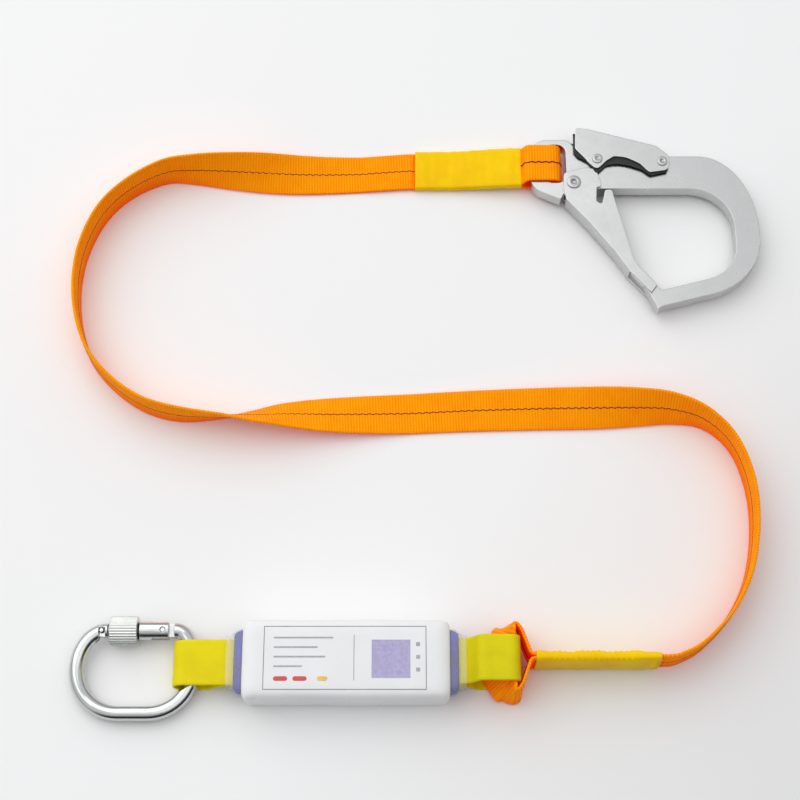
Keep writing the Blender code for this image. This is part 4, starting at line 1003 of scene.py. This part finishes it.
def make_label(mid_z, half_y, half_z):
    """A plain printed panel on the cover's top: a thin frame with bars, blocks and dots, no lettering."""
    shape = bmesh.new()

    def lay(outline, ink):
        """One printed patch, its outline in metres on the cover's top."""
        ring = []
        for x, y in outline:
            drop = (1 - abs(y / half_y) ** COVER_POWER) ** (1 / COVER_POWER)
            ring.append(shape.verts.new((x, y, mid_z + half_z * drop + LABEL_LIFT)))
        shape.faces.new(ring).material_index = ink

    def bar(x0, y0, x1, y1, ink):
        rows = max(1, round((y1 - y0) / LABEL_ROW))
        for i in range(rows):
            a = y0 + (y1 - y0) * i / rows
            b = y0 + (y1 - y0) * (i + 1) / rows
            lay([(x0, a), (x1, a), (x1, b), (x0, b)], ink)

    def pill(x0, x1, ink):
        turns = [math.pi * i / PILL_STEPS for i in range(PILL_STEPS + 1)]
        right = [(x1 - PILL_R + PILL_R * math.sin(a), PILL_Y - PILL_R * math.cos(a)) for a in turns]
        left = [(x0 + PILL_R - PILL_R * math.sin(a), PILL_Y + PILL_R * math.cos(a)) for a in turns]
        lay(right + left, ink)

    grey, pale, lavender, red, yellow = range(len(PRINTS))
    inner_y = LABEL_HALF_Y - LABEL_LINE
    for y in (-LABEL_HALF_Y, inner_y):
        bar(LABEL_LEFT, y, LABEL_RIGHT, y + LABEL_LINE, grey)
    for x in (LABEL_LEFT, LABEL_RIGHT - LABEL_LINE):
        bar(x, -inner_y, x + LABEL_LINE, inner_y, grey)
    bar(*BLOCK, lavender)
    for i, length in enumerate(TEXT_BARS):
        y = TEXT_TOP - TEXT_PITCH * i
        bar(TEXT_LEFT, y, TEXT_LEFT + length, y + TEXT_H, pale)
    for ends in RED_PILLS:
        pill(*ends, red)
    pill(*YELLOW_PILL, yellow)
    bar(*DIVIDER, pale)
    for i in range(DOTS):
        y = DOT_TOP - DOT_PITCH * i
        bar(DOT_LEFT, y, DOT_LEFT + DOT_W, y + DOT_W, pale)
    label = from_shape("printed_label", shape, PRINTS[0])
    for ink in PRINTS[1:]:
        label.data.materials.append(ink)
    thicken(label, LABEL_T)
    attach(label, "absorber")


def dress(obj, material):
    """Gives a metal piece its finish, smooth on its curves and sharp at its edges."""
    obj.data.materials.clear()
    obj.data.materials.append(material)
    for polygon in obj.data.polygons:
        polygon.use_smooth = True
    weld = obj.modifiers.new("weld", "WELD")
    weld.merge_threshold = WELD
    split = obj.modifiers.new("edges", "EDGE_SPLIT")
    split.split_angle = math.radians(EDGE_ANGLE)


def dress_metal():
    for name, node in NODES.items():
        if not name.startswith(("hook_", "carabiner_")) or name in REMADE:
            continue
        material = STEEL if name.startswith("hook_") else BRIGHT
        if "spring" in name:
            material = WIRE
        if "rivet" in name or name == "hook_lock_pin":
            material = RIVET
        if name == "carabiner_screw_sleeve":
            material = DULL
        dress(node, material)


def spring_copy(name, node):
    """A copy of a spring's node as an object of its own, dressed in wire."""
    mesh = NODES[node].data.copy()
    mesh.transform(NODES[node].matrix_world)
    coil = new_object(name, mesh, WIRE)
    dress(coil, WIRE)
    return coil


def make_gate_spring():
    """The gate's torsion spring as a piece of its own, fixed in place."""
    coil = spring_copy("gate_spring_coil", "hook_gate_spring")
    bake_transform(coil)
    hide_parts("hook_gate_spring")


def make_lever_spring():
    """The lever's coil as a piece of its own, riding on the hook."""
    coil = spring_copy("lever_spring_coil", "hook_lever_spring")
    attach(coil, "hook")
    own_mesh(coil)
    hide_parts("hook_lever_spring")


def make_lever_shade_sheets():
    """Painted shade: dark sheets inside the lever's two cheeks, where there is only the shade of the gap,
    which show as a dark band along their lower edge.
    """
    rings = [rounded([
        (-0.040, 0.0180), (-0.0050, 0.0110, 0.004), (0.0040, 0.0040, 0.004), (0.0046, -0.0098, 0.002),
        (-0.0112, -0.0136, 0.003), (-0.0180, -0.0078, 0.006), (-0.0280, -0.0040, 0.020),
        (-0.0400, -0.0008, 0.030), (-0.0500, -0.0034, 0.006), (-0.0585, -0.0122, 0.0025),
        (-0.0655, 0.0000, 0.006), (-0.0745, 0.0050, 0.003), (-0.0782, 0.0100, 0.002),
        (-0.0782, 0.0290, 0.001), (-0.0740, 0.0290, 0.002), (-0.040, 0.0180),
    ])[:-1]]
    turns = [2 * math.pi * i / SHADE_SHEET_HOLE_STEPS for i in range(SHADE_SHEET_HOLE_STEPS)]
    for x, y, radius in SHADE_SHEET_HOLES:
        rings.append([(x + radius * math.cos(a), y + radius * math.sin(a)) for a in turns])
    for side, name in ((1, "lever_shade_sheet_upper"), (-1, "lever_shade_sheet_lower")):
        curve = bpy.data.curves.new(name, "CURVE")
        curve.dimensions = "2D"
        curve.fill_mode = "BOTH"
        curve.extrude = SHADE_SHEET_T / 2
        for ring in rings:
            spline = add_line(curve, [(LEVER_AT.x + x, LEVER_AT.y + y, 0.0) for x, y in ring])
            spline.use_cyclic_u = True
        shade_sheet = from_curve(name, curve, SHADE_SHEET)
        for vertex in shade_sheet.data.vertices:
            vertex.co.z += LEVER_AT.z + side * SHADE_SHEET_Z
        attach(shade_sheet, "hook_lever")


def fade_to_backdrop(m, place):
    """Lets the floor run out, for the camera alone, into the pale backdrop well away from the object."""
    away = m.add("ShaderNodeVectorMath", operation="LENGTH")
    m.link(place, away, 0)
    seen = m.add("ShaderNodeMath", operation="MULTIPLY")
    m.link((m.add("ShaderNodeLightPath"), "Is Camera Ray"), seen, 0)
    m.link(m.step((away, "Value"), FADE_FROM, FADE_TO), seen, 1)
    pale = m.add("ShaderNodeEmission", Color=(BACKDROP, BACKDROP, BACKDROP, 1.0))
    mixed = m.add("ShaderNodeMixShader")
    m.link((seen, "Value"), mixed, 0)
    m.link((m.shader, "BSDF"), mixed, 1)
    m.link((pale, "Emission"), mixed, 2)
    out = next(node for node in m.tree.nodes if node.type == "OUTPUT_MATERIAL")
    m.link((mixed, "Shader"), out, "Surface")


def make_floor():
    """A pale floor with painted shade, a little darker towards the front and the right."""
    corners = [(x * FLOOR_REACH, y * FLOOR_REACH, 0) for x, y in ((-1, -1), (1, -1), (1, 1), (-1, 1))]
    mesh = bpy.data.meshes.new("floor")
    mesh.from_pydata(corners, [], [(0, 1, 2, 3)])
    m = Finish("pale_floor")
    place = m.place()
    m.link(m.ramp(m.reach(place, FLOOR_SHADE_WAY), FLOOR_SHADE_TONES), m.shader, "Base Color")
    m.set(Roughness=0.6, Specular_IOR_Level=0.2)
    fade_to_backdrop(m, place)
    floor = new_object("floor", mesh, m.material)


def make_world():
    """Soft light from all round, less of it low in front, and a pale backdrop for the camera alone."""
    world = bpy.data.worlds.new("studio")
    world.use_nodes = True
    sky = Tree(world.node_tree)
    way = (sky.add("ShaderNodeTexCoord"), "Generated")
    split = sky.add("ShaderNodeSeparateXYZ")
    sky.link(way, split, "Vector")
    sides = []
    for levels in (SKY_AROUND, SKY_FRONT):
        stops = [(height, tuple(level * c for c in SKY_TINT)) for height, level in levels]
        sides.append(sky.ramp((split, "Z"), stops))
    light = sky.mix(sky.step(sky.reach(way, FRONT_WAY), FRONT_FROM, FRONT_TO), *sides)
    ray = (sky.add("ShaderNodeLightPath"), "Is Camera Ray")
    seen = sky.mix(ray, light, (BACKDROP / SKY,) * 3)
    back = sky.tree.nodes["Background"]
    back.inputs["Strength"].default_value = SKY
    sky.link(seen, back, "Color")
    bpy.context.scene.world = world


def make_lights():
    for name, spot, size, power in LIGHTS:
        data = bpy.data.lights.new(name, "AREA")
        data.size = size
        data.energy = power
        light = bpy.data.objects.new(name, data)
        light.location = spot
        light.rotation_euler = (spot - LIGHT_AIM).to_track_quat("Z", "Y").to_euler()
        bpy.context.scene.collection.objects.link(light)


make_camera()
make_strap()
make_hook_loop()
make_hook_sleeve()
make_pack_sleeve()
make_eye()
make_carabiner_loop()
make_strap_loop()
make_cover()
make_wrap_ends()
make_film_ends()
dress_metal()
make_gate_spring()
make_lever_spring()
make_lever_shade_sheets()
make_floor()
make_world()
make_lights()
bpy.context.scene.view_settings.view_transform = "Standard"
